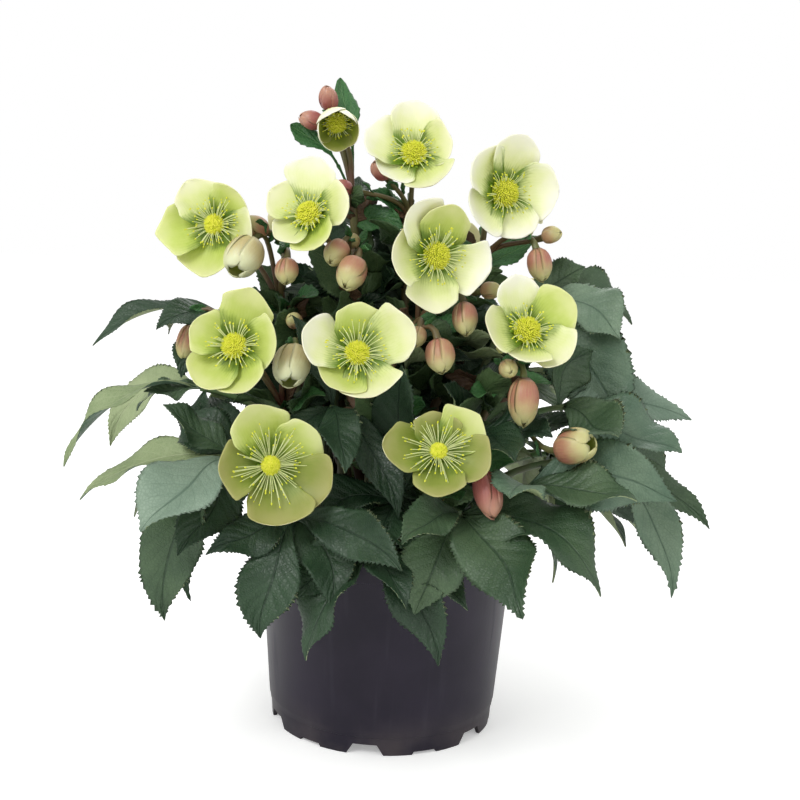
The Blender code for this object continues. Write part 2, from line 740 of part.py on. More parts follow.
def ring_leaves():
    """Names, hubs, faces and leaflets of the leaves that stand in rings."""
    for ring, (first, step, count, reach, height, length, rise, droop, leaflets, spread) in RINGS.items():
        for k in range(count):
            name = f"{ring}_{k + 1}"
            draw = random.Random(name)
            turn = first + step * k + draw.uniform(-5, 5)
            hub = aim(turn, 0) * (reach * MM * draw.uniform(0.92, 1.08))
            hub += UP * (height * draw.uniform(0.96, 1.05) * MM)
            fan = []
            for i in range(leaflets):
                place = i / (leaflets - 1) - 0.5
                heading = turn + spread * place + draw.uniform(-6, 6)
                long = length * MM * (1 - 0.5 * place * place) * draw.uniform(0.9, 1.1)
                bend = droop * draw.uniform(0.85, 1.2)
                tip = hub + aim(heading, rise - bend / 2 + draw.uniform(-6, 6)) * long
                fan.append((tip, bend, long * RING_WIDTH * draw.uniform(0.9, 1.12)))
            yield name, hub, aim(turn, 0), fan


def clear_scene():
    """Empties the scene before the plant is made."""
    for item in list(bpy.data.objects):
        bpy.data.objects.remove(item, do_unlink=True)


def build():
    """Makes every piece of the plant and its pot."""
    clear_scene()
    materials = {
        "pot": plain_material("pot plastic", (0.035, 0.028, 0.045), 0.42),
        "compost": plain_material("compost", (0.06, 0.04, 0.028), 0.95),
        "stem": plain_material("stem", (0.19, 0.10, 0.07), 0.5),
        "leaf": plain_material("leaf", (0.045, 0.10, 0.06), 0.45),
        "sepal": plain_material("sepal", (0.68, 0.76, 0.40), 0.5),
        "bud": plain_material("bud", (0.60, 0.30, 0.22), 0.5),
        "stamen": plain_material("stamen", (0.62, 0.68, 0.10), 0.6),
    }
    solids = [make_pot(materials["pot"]), make_compost(materials["compost"])]
    solids += [make_stem(name, materials["stem"]) for name in STEMS]
    solids += [make_spray(name, materials) for name in STEMS]
    placed = [tree_of(solid) for solid in solids]
    for name, hub, face, leaflets in list(shown_leaves()) + list(ring_leaves()):
        leaf = make_leaf(name, hub, face, leaflets, placed, materials["leaf"])
        if leaf:
            placed.append(tree_of(leaf))
            solids.append(leaf)
    for solid in solids:
        smooth(solid)


build()
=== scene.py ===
# A christmas rose in flower in its round nursery pot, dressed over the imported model.
#
# Stems, sprays and leaves grow by the same tables and rules as the solids that they replace,
# with finer blades, sepals, stamens and buds. Units are metres, +Z is up and the front faces
# -Y. Places in the tables are in millimetres.

import math
import random

import bmesh
import bpy
import numpy as np
from mathutils import Matrix, Vector
from mathutils.kdtree import KDTree


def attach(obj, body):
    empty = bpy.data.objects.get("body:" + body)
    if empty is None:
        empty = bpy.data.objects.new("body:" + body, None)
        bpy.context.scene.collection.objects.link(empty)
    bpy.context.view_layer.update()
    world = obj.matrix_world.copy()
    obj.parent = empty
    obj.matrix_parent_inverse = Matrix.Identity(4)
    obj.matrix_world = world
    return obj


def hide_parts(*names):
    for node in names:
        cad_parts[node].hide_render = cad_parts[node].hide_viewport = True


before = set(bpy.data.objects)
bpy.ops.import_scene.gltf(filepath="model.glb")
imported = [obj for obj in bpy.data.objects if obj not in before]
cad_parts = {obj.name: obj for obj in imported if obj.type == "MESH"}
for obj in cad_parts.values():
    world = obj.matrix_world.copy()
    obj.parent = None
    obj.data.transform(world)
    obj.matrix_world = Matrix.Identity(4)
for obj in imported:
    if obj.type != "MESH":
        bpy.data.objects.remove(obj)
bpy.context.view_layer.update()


MM = 0.001
GAP = 0.3 * MM
UP = Vector((0, 0, 1))

# Pot and compost, as in the solids
POT_HEIGHT = 120 * MM
RIM_RADIUS = 85 * MM
RIM_BAND = 12 * MM
WALL_TOP_RADIUS = 77.3 * MM
SHOULDER_RADIUS = 70.2 * MM
SHOULDER_HEIGHT = 15 * MM
FOOT_RADIUS = 68.3 * MM
STEP_HEIGHT = 11 * MM
WALL = 1.6 * MM
SKIRT = 2.4 * MM
FLOOR_UNDERSIDE = 7.4 * MM
FLOOR = 2 * MM
POT_SIDES = 168
NOTCHES = 6
NOTCH_HEIGHT = 6.6 * MM
NOTCH_FOOT_WIDTH = 22 * MM
NOTCH_TOP_WIDTH = 14 * MM
NOTCH_TURN = -6.9
RECESS_HEIGHT = 2 * MM
RECESS_WIDTH = 15.5 * MM
DRAIN_RADIUS = 5 * MM
DRAIN_REACH = 50 * MM
COMPOST_TOP = 108 * MM
COMPOST_RADIUS = 75.2 * MM

# Stems, stalks and blades, as in the solids
STEM_RADII = (3.9 * MM, 2.9 * MM)
NECK_LENGTH = 16 * MM
STALK_RADII = (1.7 * MM, 1.35 * MM)
STALK_PULL = 0.45
STALK_SINK = 2.5 * MM
LEAF_STALK_RADII = (2.6 * MM, 1.7 * MM)
BLADE_FOLD = 0.16
DEEP_BEND = 80
BANK = 40
LEAFLET_STEP = 1.5 * MM
HUB_STUB = 4 * MM
LEAF_FOOT_REACH = 42 * MM
RING_WIDTH = 0.4
TURN_TRIES = (0, 8, -8, 16, -16, 24, -24, 32, -32)
SWING_TRIES = (0, 14, -14)
LIFT_TRIES = (0, 6, -6, 12, -12, 18, -18, 26, -26)

# Flowering stems: foot on the compost, then the tip where the spray starts.
STEMS = {
    "top": ((-9, 6), (-27, 2, 306)),
    "upper_left": ((-9, -5), (-27, -16, 252)),
    "upper_middle": ((2, 3), (6, 6, 292)),
    "upper_right": ((12, 3), (46, 6, 268)),
    "left": ((-20, -1), (-62, -8, 238)),
    "left_front": ((-20, -14), (-56, -36, 186)),
    "middle": ((4, -9), (12, -22, 230)),
    "centre": ((-4, -19), (-8, -44, 184)),
    "right": ((19, -10), (54, -34, 198)),
    "front_left": ((-15, -27), (-42, -58, 140)),
    "front_right": ((9, -24), (26, -56, 146)),
    "back_left": ((-14, 17), (-48, 46, 232)),
    "back": ((1, 18), (6, 58, 226)),
    "back_right": ((16, 16), (52, 44, 222)),
}

# Flowers: middle, turn, rise, direction of one sepal, the sepal's length and its bend. Then
# the sepals' skins, counted in SEPAL_SETS, and how far its stamens have opened, from 0 to 1.
FLOWERS = {
    "top": [((-39, -3, 363), 8, -24, 54, 24, 100, 4, 0.0)],
    "upper_left": [((-49, -45, 308), -20, 28, 81, 31, 48, 0, 0.15)],
    "upper_middle": [((7, -20, 344), 0, 27, 90, 31.5, 45, 0, 0.2)],
    "upper_right": [((59, -15, 325), 24, 4, 67, 34, 45, 0, 0.1)],
    "left": [((-104, -30, 301), -12, 6, 56, 31, 42, 1, 0.6)],
    "left_front": [((-86, -74, 237), -8, 18, 80, 31.5, 52, 1, 0.3)],
    "middle": [((20, -60, 290), 22, 4, 52, 35, 42, 0, 0.3)],
    "centre": [((-20, -80, 236), 8, 24, 86, 34.5, 44, 0, 0.5)],
    "right": [
        ((72, -66, 250), 14, 28, 92, 31.5, 50, 0, 0.1),
        ((93, 16, 232), 98, 14, 30, 30, 48, 0, 0.3),
    ],
    "front_left": [((-64, -98, 177), 16, 14, 115, 37, 40, 2, 1.0)],
    "front_right": [((26, -98, 187), 2, 34, 110, 32.5, 42, 2, 1.0)],
    "back_left": [
        ((-56, 54, 306), 222, 24, 20, 31, 45, 0, 0.2),
        ((-102, 66, 219), 248, 12, 60, 31, 44, 1, 0.5),
        ((-62, 112, 186), 206, 10, 85, 32, 46, 2, 0.9),
    ],
    "back": [
        ((26, 84, 283), 172, 30, 35, 32, 44, 0, 0.3),
        ((-16, 118, 236), 184, 18, 75, 33, 42, 1, 0.6),
    ],
    "back_right": [
        ((64, 54, 317), 130, 24, 50, 30, 46, 0, 0.1),
        ((88, 72, 240), 122, 18, 10, 31, 45, 0, 0.4),
        ((50, 114, 208), 150, 14, 65, 32, 44, 1, 0.8),
    ],
}

# The front flowers' sepals, where they aren't even: direction counted from the viewer's right,
# length, and each one's skins.
# A lime skin (1) is partly painted shade: sepals that lie under their neighbours are given the greener,
# darker skin.
SEPALS = {
    "upper_left": [(88, 35, 3), (158, 28, 0), (232, 25, 0), (300, 29, 1), (12, 29, 0)],
    "upper_middle": [(88, 33, 3), (160, 32, 3), (224, 27, 3), (296, 30, 0), (12, 26, 0)],
    "upper_right": [(75, 37, 3), (146, 36, 3), (212, 33, 3), (283, 31, 3), (2, 34, 3)],
    "left": [(50, 27, 1), (124, 30, 0), (193, 36, 1), (266, 34, 1), (342, 27, 0)],
    "left_front": [(73, 35, 1), (160, 28, 1), (236, 32, 1), (294, 33, 1), (5, 29, 1)],
    "middle": [(76, 32, 1), (124, 36, 3), (184, 33, 0), (264, 34, 0), (346, 34, 3)],
    "centre": [(86, 30, 1), (165, 36, 3), (231, 29, 1), (286, 32, 0), (20, 37, 0)],
    "right": [(102, 34, 3), (176, 31, 0), (250, 26, 0), (316, 30, 0), (28, 33, 1)],
    "front_left": [(112, 37, 1), (184, 33, 2), (272, 36, 2), (334, 37, 2), (32, 33, 1)],
    "front_right": [(100, 24, 2), (182, 33, 2), (268, 31, 2), (336, 31, 2), (42, 31, 1)],
}

# Buds: middle of the foot, turn and rise of the tip, length, greatest radius, then the kind.
PINK, CREAM, OPENING, RED, BLUSH = range(5)
BUDS = {
    "top": [((-43, 9, 369), -24, 62, 15, 5.5, RED), ((-47, 3, 361), -78, 14, 14, 5.5, RED)],
    "upper_left": [
        ((-31, -44, 294), -30, -40, 16, 7, PINK),
        ((-22, -54, 286), -25, -48, 20, 8.5, PINK),
        ((-25, -18, 293), -20, 15, 11, 4.5, CREAM),
    ],
    "upper_middle": [((-8, -12, 331), -50, 40, 13, 5.5, RED), ((-28, -6, 323), -80, 10, 12, 5, RED)],
    "upper_right": [((80, -22, 294), 40, -70, 19, 7, PINK), ((84, -14, 300), 60, 20, 12, 5, CREAM)],
    "left": [
        ((-76, -22, 298), -55, 18, 17, 6.5, PINK),
        ((-62, -42, 284), 0, -62, 15, 6.5, PINK),
        ((-82, -36, 293), -28, -42, 24, 10.5, OPENING),
    ],
    "left_front": [
        ((-118, -28, 243), -40, -72, 21, 6, PINK),
        ((-55, -62, 237), -6, -48, 24, 10, OPENING),
        ((-56, -34, 246), -20, 30, 11, 4.5, PINK),
    ],
    "middle": [((38, -54, 264), 10, -60, 19, 7, PINK), ((48, -44, 270), 60, 10, 12, 5, CREAM)],
    "centre": [((24, -70, 245), 20, -62, 19, 8, PINK), ((14, -62, 250), -20, -50, 12, 5, CREAM)],
    "right": [
        ((72, -73, 226), 4, -78, 26, 8.5, PINK),
        ((62, -70, 232), 10, -10, 12, 5, CREAM),
        ((92, -78, 187), 50, 20, 23, 10, BLUSH),
    ],
    "front_right": [((50, -96, 178), 30, -58, 26, 7.5, RED)],
    "back_left": [
        ((-62, 84, 250), 215, -55, 20, 8, PINK),
        ((-116, 66, 228), 240, -40, 24, 10, OPENING),
    ],
    "back": [((34, 82, 272), 165, -40, 18, 7, PINK), ((-18, 92, 256), 200, -50, 19, 8, PINK)],
    "back_right": [
        ((88, 84, 236), 130, -60, 20, 8, PINK),
        ((106, 84, 222), 110, -40, 24, 10, OPENING),
    ],
}

# Larger leaves of the stems, just under the sprays, which only show here: how many on each.
STEM_LEAVES = {
    "top": 2, "upper_left": 10, "upper_middle": 10, "upper_right": 10, "left": 7, "left_front": 3,
    "middle": 9, "centre": 3, "right": 5, "back_left": 9, "back": 9, "back_right": 9,
}

# Bracts, which leave the stem where the spray starts: tip, droop over the length, width.
BRACTS = {
    "top": [((-39, 17, 390), 25, 15), ((-66, 4, 361), 40, 13)],
    "upper_middle": [((-16, -4, 324), 40, 13), ((18, -2, 318), 30, 13), ((-2, 2, 314), 40, 15)],
    "upper_right": [((88, 10, 300), 45, 17), ((30, -18, 302), 30, 13), ((22, -2, 310), 30, 15)],
    "left": [((-46, -42, 264), 50, 15), ((-86, -32, 262), 50, 14)],
    "left_front": [((-38, -62, 212), 50, 15)],
    "middle": [((42, -36, 250), 50, 16)],
    "centre": [((18, -64, 206), 60, 17)],
    "right": [((90, -56, 224), 50, 18), ((46, -64, 214), 45, 14)],
    "front_right": [((68, -88, 184), 55, 18), ((40, -94, 162), 50, 13)],
    "back_left": [((-82, 42, 256), 50, 17), ((-32, 76, 250), 50, 15)],
    "back": [((36, 84, 246), 55, 17)],
    "back_right": [((86, 38, 246), 50, 17), ((48, 78, 240), 50, 15)],
}

# Leaves that the front view shows: hub, then each leaflet's tip, droop and width.
LEAVES = {
    "left_high": ((-100, -14, 248), [
        (-180, -12, 226, 80, 27), (-136, -50, 231, 70, 24), (-146, 38, 232, 60, 28)]),
    "left_middle": ((-112, -30, 206), [
        (-184, -60, 162, 115, 33), (-172, 8, 160, 105, 32), (-152, -26, 190, 110, 22)]),
    "left_low": ((-88, -74, 174), [
        (-124, -138, 150, 75, 42), (-118, -98, 84, 95, 36), (-112, -60, 86, 95, 16),
        (-178, -52, 142, 70, 24), (-124, -76, 207, 30, 24)]),
    "front_left": ((-50, -90, 146), [
        (-66, -128, 89, 85, 33), (8, -146, 135, 60, 27), (-92, -122, 132, 70, 26)]),
    "front": ((-6, -94, 132), [
        (-42, -124, 78, 75, 32), (28, -122, 77, 70, 30), (12, -150, 118, 80, 22)]),
    "front_right": ((40, -88, 152), [
        (66, -158, 118, 50, 42), (118, -132, 126, 65, 42), (6, -138, 150, 70, 26)]),
    "right_low": ((76, -78, 166), [
        (154, -94, 160, 60, 44), (130, -116, 172, 40, 30), (64, -130, 176, 40, 30)]),
    "right": ((122, -22, 172), [
        (161, -58, 100, 105, 30), (190, -40, 136, 60, 22), (178, 34, 128, 80, 34)]),
    "right_middle": ((98, -46, 206), [
        (167, -60, 186, 45, 40), (180, -14, 196, 40, 28), (128, -94, 196, 50, 38)]),
    "right_high": ((84, -6, 264), [
        (144, 0, 252, 75, 30), (128, -40, 246, 60, 32), (120, 40, 256, 50, 28)]),
    "between_left": ((-34, -54, 202), [
        (-18, -110, 178, 70, 28), (6, -92, 148, 85, 26), (-56, -84, 152, 85, 24),
        (-58, -60, 226, 50, 22)]),
    "between_right": ((50, -50, 190), [
        (64, -112, 196, 60, 28), (88, -80, 196, 70, 28), (36, -92, 140, 90, 24),
        (30, -62, 234, 40, 24)]),
    "low_middle": ((6, -66, 152), [
        (-38, -98, 150, 60, 26), (48, -100, 136, 60, 26), (2, -84, 206, 40, 30),
        (30, -74, 196, 40, 24)]),
    "screen_left": ((-46, 22, 182), [
        (-82, 16, 236, 40, 30), (-40, 24, 258, 30, 34), (-106, 10, 196, 60, 28),
        (-12, 26, 234, 40, 28)]),
    "screen_right": ((46, 20, 182), [
        (26, 26, 246, 40, 28), (58, 24, 256, 30, 32), (90, 18, 236, 50, 28), (12, 24, 206, 50, 24)]),
    "screen_middle": ((-2, 38, 204), [
        (-24, 33, 275, 30, 30), (18, 37, 281, 30, 30), (46, 36, 261, 50, 26), (-55, 33, 263, 50, 26)]),
}

# Leaflets that only show here, on leaves that have a solid.
FRONT_FILL = {
    "front": [(-50, -116, 108, 60, 30), (46, -114, 106, 60, 30)],
    "front_right": [(20, -124, 104, 70, 32)],
    "front_left": [(-24, -122, 106, 70, 30)],
    "low_middle": [(-14, -104, 124, 60, 28), (26, -106, 122, 60, 28)],
    "left_middle": [(-142, -40, 203, 70, 20), (-120, -56, 172, 60, 26)],
    "left_low": [(-118, -50, 200, 40, 32), (-104, -16, 200, 40, 34), (-106, -110, 128, 70, 30)],
    "left_high": [(-124, -40, 214, 60, 28)],
    "right_high": [(131, -46, 190, 60, 46), (130, 12, 246, 70, 26), (112, -4, 284, 30, 26)],
    "right_middle": [(150, -20, 178, 60, 34), (118, -30, 236, 40, 26)],
}

# Smaller leaves with no solid of their own: as in the rings, with three leaflets each.
FILL = {
    "fill_low": (18, 36, 10, 46, 138, 44, 14, 60, 130),
    "fill_middle": (0, 40, 9, 40, 186, 44, 30, 56, 130),
    "fill_high": (20, 45, 8, 30, 226, 42, 46, 50, 140),
}

# Leaves in rings: turn of the first, turn between them, how many, the hub's reach and height,
# the leaflets' length, rise, droop and number, and the fan that they spread over.
RINGS = {
    "back_low": (98, 33.5, 6, 98, 162, 84, -6, 66, 5, 180),
    "back_high": (132, 48, 3, 84, 212, 76, 8, 62, 5, 190),
    "side": (82, 200, 2, 56, 176, 60, 40, 56, 3, 90),
    "inner": (75, 42, 5, 54, 165, 52, 24, 60, 3, 110),
}

# Finer detail that only shows here. An outline gives the half width at places along a blade.
BLADE_THICK = 0.55 * MM
LEAF_OUTLINE = (
    (0.0, 0.07), (0.07, 0.15), (0.17, 0.4), (0.28, 0.7), (0.4, 0.92), (0.52, 1.0),
    (0.63, 0.95), (0.74, 0.76), (0.83, 0.48), (0.9, 0.25), (0.96, 0.1), (1.0, 0.0),
)
BRACT_OUTLINE = (
    (0.0, 0.2), (0.1, 0.42), (0.22, 0.78), (0.34, 0.96), (0.48, 1.0), (0.62, 0.95),
    (0.75, 0.8), (0.86, 0.57), (0.94, 0.31), (1.0, 0.0),
)
LONG_BRACT_OUTLINE = (
    (0.0, 0.1), (0.48, 0.13), (0.58, 0.42), (0.68, 0.83), (0.78, 1.0), (0.87, 0.92),
    (0.94, 0.66), (0.98, 0.36), (1.0, 0.0),
)
SEPAL_OUTLINE = (
    (0.0, 0.14), (0.12, 0.23), (0.25, 0.33), (0.4, 0.415), (0.52, 0.455), (0.62, 0.465),
    (0.72, 0.44), (0.82, 0.37), (0.9, 0.275), (0.96, 0.16), (1.0, 0.0),
)
BUD_OUTLINE = (
    (0.0, 0.32), (0.08, 0.62), (0.2, 0.86), (0.36, 0.98), (0.52, 1.0), (0.68, 0.92),
    (0.82, 0.72), (0.92, 0.46), (0.97, 0.24), (1.0, 0.02),
)
SEPAL_LAYERS = (0, 3, 1, 4, 2)   # which sepals lie over their neighbours
SCREW = 0.17          # how far a sepal's one edge stands over its neighbour, of its width
SEPAL_WAVE = 0.045    # how far a sepal's margin waves, of its length
SEPAL_RIPPLES = ((0.06, 2.6), (0.03, 6.3))   # uneven margin: how far and how many
BELL = math.radians(102)   # how far the sepals of a closed flower bend
BUD_WRAP = (62, 56)   # half of the turn that a bud's sepal goes round, closed and opening
SEPAL_THICK = 0.6 * MM
BUD_THICK = 0.5 * MM
BOSS_ANTHERS = 210    # closed anthers packed in the middle of a flower
CUPS = 14             # nectaries round them
THREADS = (46, 34)    # stamens of a flower that has just opened, and more as it ages
THREAD_RADIUS = 0.2 * MM
BOSS = (0.26, 0.12)   # radius of the boss, of a sepal's length, and how much it shrinks with age
WHORL = 7             # small leaves where a stem ends, and as many below it
WHORL_TURN = 137.5    # degrees from one of them to the next
LEAF_TURN = 222.5     # degrees from one larger leaf of a stem to the next
SPIRAL = 2.4          # radians from one stamen to the next, so that none stand in rows
CRUMBS = 1500
COMPOST_GRID = (26, 120)   # rings and sides of the compost's top
COMPOST_LUMPS = 90
COMPOST_EDGE = 0.86   # where its top starts to sink towards the wall, of its radius
COMPOST_SINK = 4 * MM
SHARP = 35            # a harder edge of the pot than this stays sharp, in degrees

# Which skins a blade has above and below, counted in the lists of skins at the end
SEPAL_SETS = ((0, 4), (1, 4), (2, 4), (3, 4), (2, 3))
BUD_SETS = {PINK: (0, 0), CREAM: (4, 4), OPENING: (1, 2), RED: (3, 3), BLUSH: (0, 2)}
BRACT_SETS = {"green": (0, 3), "mid": (1, 3), "dark": (2, 3), "brown": (4, 4), "sheath": (0, 0)}
WHORL_KINDS = ("dark", "mid", "brown", "green")
# The soft skin on the right-hand leaves is partly painted highlight.
LEAF_SETS = {"dark": (0, 3), "mid": (1, 3), "grey": (2, 3), "pale": (3, 2), "soft": (4, 3)}
LEAF_KINDS = {
    "left_high": ("dark",),
    "left_middle": ("pale", "pale", "pale", "mid", "dark"),
    "left_low": ("grey", "mid", "dark", "pale", "mid", "dark", "dark", "dark"),
    "right_high": ("mid", "soft", "mid", "soft", "dark", "mid"),
    "right_middle": ("soft", "grey", "mid", "soft", "mid"),
    "right": ("soft", "mid", "mid"),
    "right_low": ("soft", "mid", "soft"),
    "front_right": ("mid",),
}
LEAFLET_ROLL = 20     # how far a leaflet may turn over about its rib, in degrees
LEAF_ROLLS = {
    "left_high": 30, "left_middle": 24, "right_high": 8, "right": 8, "right_middle": 28, "right_low": 20,
}
LEAF_WIDTHS = {"left_high": 0.8, "left_middle": 0.85, "right": 0.9, "between_left": 0.82}


def at(place):
    """A place in the tables' millimetres as a vector in metres."""
    return Vector(place) * MM


def aim(turn, rise):
    """Unit direction: turn 0 is the front and 90 the viewer's right."""
    turn, rise = math.radians(turn), math.radians(rise)
    level = math.cos(rise)
    return Vector((math.sin(turn) * level, -math.cos(turn) * level, math.sin(rise)))


def unit(rows):
    """Each row scaled to length one."""
    return rows / np.linalg.norm(rows, axis=-1, keepdims=True)


def bezier(start, pull, push, end, spans):
    """Points along a cubic curve as rows, and its last direction."""
    t = np.linspace(0, 1, spans + 1)[:, None]
    s = 1 - t
    a, b, c, d = (np.array(v) for v in (start, pull, push, end))
    points = a * s**3 + b * 3 * s * s * t + c * 3 * s * t * t + d * t**3
    return points, (end - push).normalized()


def rib(hub, tip, droop, along):
    """Points and tangents of an arc that bends down from hub to tip."""
    chord = tip - hub
    ahead = np.array(Vector((chord.x, chord.y, 0)).normalized())
    up = np.array(UP)
    pitch = math.atan2(chord.z, math.hypot(chord.x, chord.y))
    bend = math.radians(droop)
    start = pitch + bend / 2
    radius = chord.length / (2 * math.sin(bend / 2))
    slope = (start - bend * along)[:, None]
    points = np.array(hub) + ahead * radius * (math.sin(start) - np.sin(slope))
    points = points + up * radius * (np.cos(slope) - math.cos(start))
    return points, ahead * np.cos(slope) + up * np.sin(slope)


def outline(table, along):
    """Half width at each place along a blade, eased between the table's knots."""
    places, widths = (np.array(column) for column in zip(*table))
    fine = np.linspace(0, 1, 81)
    rough = np.interp(fine, places, widths)
    eased = np.convolve(np.pad(rough, 3, mode="edge"), np.ones(7) / 7, mode="valid")
    eased[[0, -1]] = rough[[0, -1]]
    return np.interp(along, fine, eased)


def add_item(name, data):
    """A new object in the scene for a mesh, lamp or camera."""
    item = bpy.data.objects.new(name, data)
    bpy.context.scene.collection.objects.link(item)
    return item


def settle(item, modifier):
    """Makes what the modifier shows the object's own plain mesh."""
    bpy.context.view_layer.update()
    seen = item.evaluated_get(bpy.context.evaluated_depsgraph_get())
    item.data = bpy.data.meshes.new_from_object(seen)
    item.modifiers.remove(modifier)


def loose_mesh(name, shape):
    """A mesh from loose geometry, which is freed."""
    mesh = bpy.data.meshes.new(name)
    shape.to_mesh(mesh)
    shape.free()
    return mesh


def carry(mesh, name, values, where="POINT"):
    """Numbers or vectors that the mesh's points or faces carry by name."""
    kind, key = ("FLOAT", "value") if np.ndim(values) == 1 else ("FLOAT_VECTOR", "vector")
    mesh.attributes.new(name, kind, where).data.foreach_set(key, np.ravel(values))


CELL_EDGE = 0.03      # free edge of each sheet's place on the bake map


class Heap:
    """Thin closed sheets gathered into one mesh, each with its own place on the bake map."""

    def __init__(self):
        self.points, self.quads, self.tris = [], [], []
        self.count = 0
        self.cells = 0

    def add_faces(self, faces, spots, skin, tint, side):
        """Faces with their corners' place on the blade, skin, tint and side."""
        row = (faces + self.count, spots[faces], skin, tint, self.cells, side)
        (self.quads if faces.shape[1] == 4 else self.tris).append(row)

    def sheet(self, middle, normals, thick, across, along, sides, tint, flip=False):
        """A sheet whose last row is one point. Its two sides meet at its margin."""
        rows, cols = middle.shape[:2]
        lift = np.full((rows, cols, 1), thick / 2)
        lift[0] = lift[-1] = 0
        lift[:, 0] = lift[:, -1] = 0
        upper = middle + normals * lift
        lower = (middle - normals * lift)[1:-1, 1:-1]
        top = np.arange(rows * cols).reshape(rows, cols)
        top[-1] = top[-1, 0]
        under = top.copy()
        under[1:-1, 1:-1] = rows * cols + np.arange((rows - 2) * (cols - 2)).reshape(rows - 2, -1)
        u = np.broadcast_to(across, (rows, cols)) * 0.5 + 0.5
        v = np.broadcast_to(along[:, None], (rows, cols))
        spot = np.stack([u, v], axis=-1)
        spots = np.concatenate([spot.reshape(-1, 2), spot[1:-1, 1:-1].reshape(-1, 2)])
        for side, grid in enumerate((top, under)):
            quads = np.stack([grid[:-2, :-1], grid[1:-1, :-1], grid[1:-1, 1:], grid[:-2, 1:]], -1)
            tris = np.stack([grid[-2, :-1], grid[-1, :-1], grid[-2, 1:]], -1)
            if (side == 1) != flip:
                quads, tris = quads[..., ::-1], tris[..., ::-1]
            self.add_faces(quads.reshape(-1, 4), spots, sides[side], tint, side)
            self.add_faces(tris.reshape(-1, 3), spots, sides[side], tint, side)
        self.points.append(np.concatenate([upper.reshape(-1, 3), lower.reshape(-1, 3)]))
        self.count += rows * cols + (rows - 2) * (cols - 2)
        self.cells += 1

    def build(self, name, skins):
        """The piece, with the maps that its skins and the bake read."""
        mesh = bpy.data.meshes.new(name)
        points = np.concatenate(self.points)
        groups = [group for group in (self.quads, self.tris) if group]
        corner_sets = [np.concatenate([row[0] for row in group]) for group in groups]
        sizes = np.concatenate([np.full(len(c), c.shape[1]) for c in corner_sets])
        indices = np.concatenate([c.ravel() for c in corner_sets])
        starts = np.concatenate([[0], np.cumsum(sizes)[:-1]])
        mesh.vertices.add(len(points))
        mesh.vertices.foreach_set("co", points.ravel())
        mesh.loops.add(len(indices))
        mesh.loops.foreach_set("vertex_index", indices.astype(np.int32))
        mesh.polygons.add(len(sizes))
        mesh.polygons.foreach_set("loop_start", starts.astype(np.int32))
        spots = np.concatenate([row[1].reshape(-1, 2) for group in groups for row in group])

        def per_face(column):
            return np.concatenate([np.full(len(r[0]), r[column], float) for g in groups for r in g])

        mesh.polygons.foreach_set("material_index", per_face(2).astype(np.int32))
        mesh.polygons.foreach_set("use_smooth", np.ones(len(sizes), dtype=bool))
        mesh.update(calc_edges=True)
        carry(mesh, "tint", per_face(3), "FACE")
        mesh.uv_layers.new(name="blade").data.foreach_set("uv", spots.ravel())
        side_cells = math.ceil(math.sqrt(self.cells))
        cell = np.repeat(per_face(4), sizes)
        half = np.repeat(per_face(5), sizes)
        wide, tall = 0.5 - 2 * CELL_EDGE, 1 - 2 * CELL_EDGE
        left = (cell % side_cells + (spots[:, 0] * wide + CELL_EDGE + half * 0.5)) / side_cells
        low = (cell // side_cells + (spots[:, 1] * tall + CELL_EDGE)) / side_cells
        bake = mesh.uv_layers.new(name="OFBake")
        bake.data.foreach_set("uv", np.stack([left, low], -1).ravel())
        for skin in skins:
            mesh.materials.append(materials[skin])
        spare = bmesh.new()
        spare.from_mesh(mesh)
        bmesh.ops.delete(spare, geom=[v for v in spare.verts if not v.link_faces], context="VERTS")
        spare.to_mesh(mesh)
        spare.free()
        return add_item(name, mesh)


def leaf_rows(teeth, start, draw):
    """Places along a blade, with two for each tooth, and how far each stands out."""
    steps = np.array([draw.uniform(0.55, 1.45) for _ in range(teeth)])
    steps *= (0.985 - start) / steps.sum()
    low = start + np.cumsum(steps) - steps
    notched = np.stack([low, low + steps * 0.74], -1).ravel()
    rows = np.concatenate([np.linspace(0, start - 0.02, 5), notched, [0.992, 1.0]])
    stand = np.zeros(len(rows))
    stand[5:-2:2] = -0.7
    stand[6:-2:2] = [draw.uniform(-0.1, 1.8) for _ in range(teeth)]
    return rows, stand


def halves(u, draw, low, high):
    """A value of its own for each half of a blade."""
    return np.where(u < 0, draw.uniform(low, high), draw.uniform(low, high))


BLADE_COLUMNS = np.array([-1, -0.86, -0.58, -0.28, 0, 0.28, 0.58, 0.86, 1])
TEETH_START = 0.28    # where along a blade the teeth begin
TOOTH = 0.85 * MM     # how far a tooth stands out
TOOTH_SHARE = 0.025   # and at most, of the blade's width
TWIST = 0.75          # how far a blade may turn about its rib towards its tip, in radians
BOW = 0.22            # how far it may lean aside in its middle, of its width
HOOK = 0.16           # and at its tip
NOD = 0.18            # how far its tip may hang
RIPPLE = 0.28         # how far its margin waves, of its half width
PILLOW = 0.22 * MM    # how far it swells between its side veins, on a blade 30 mm wide


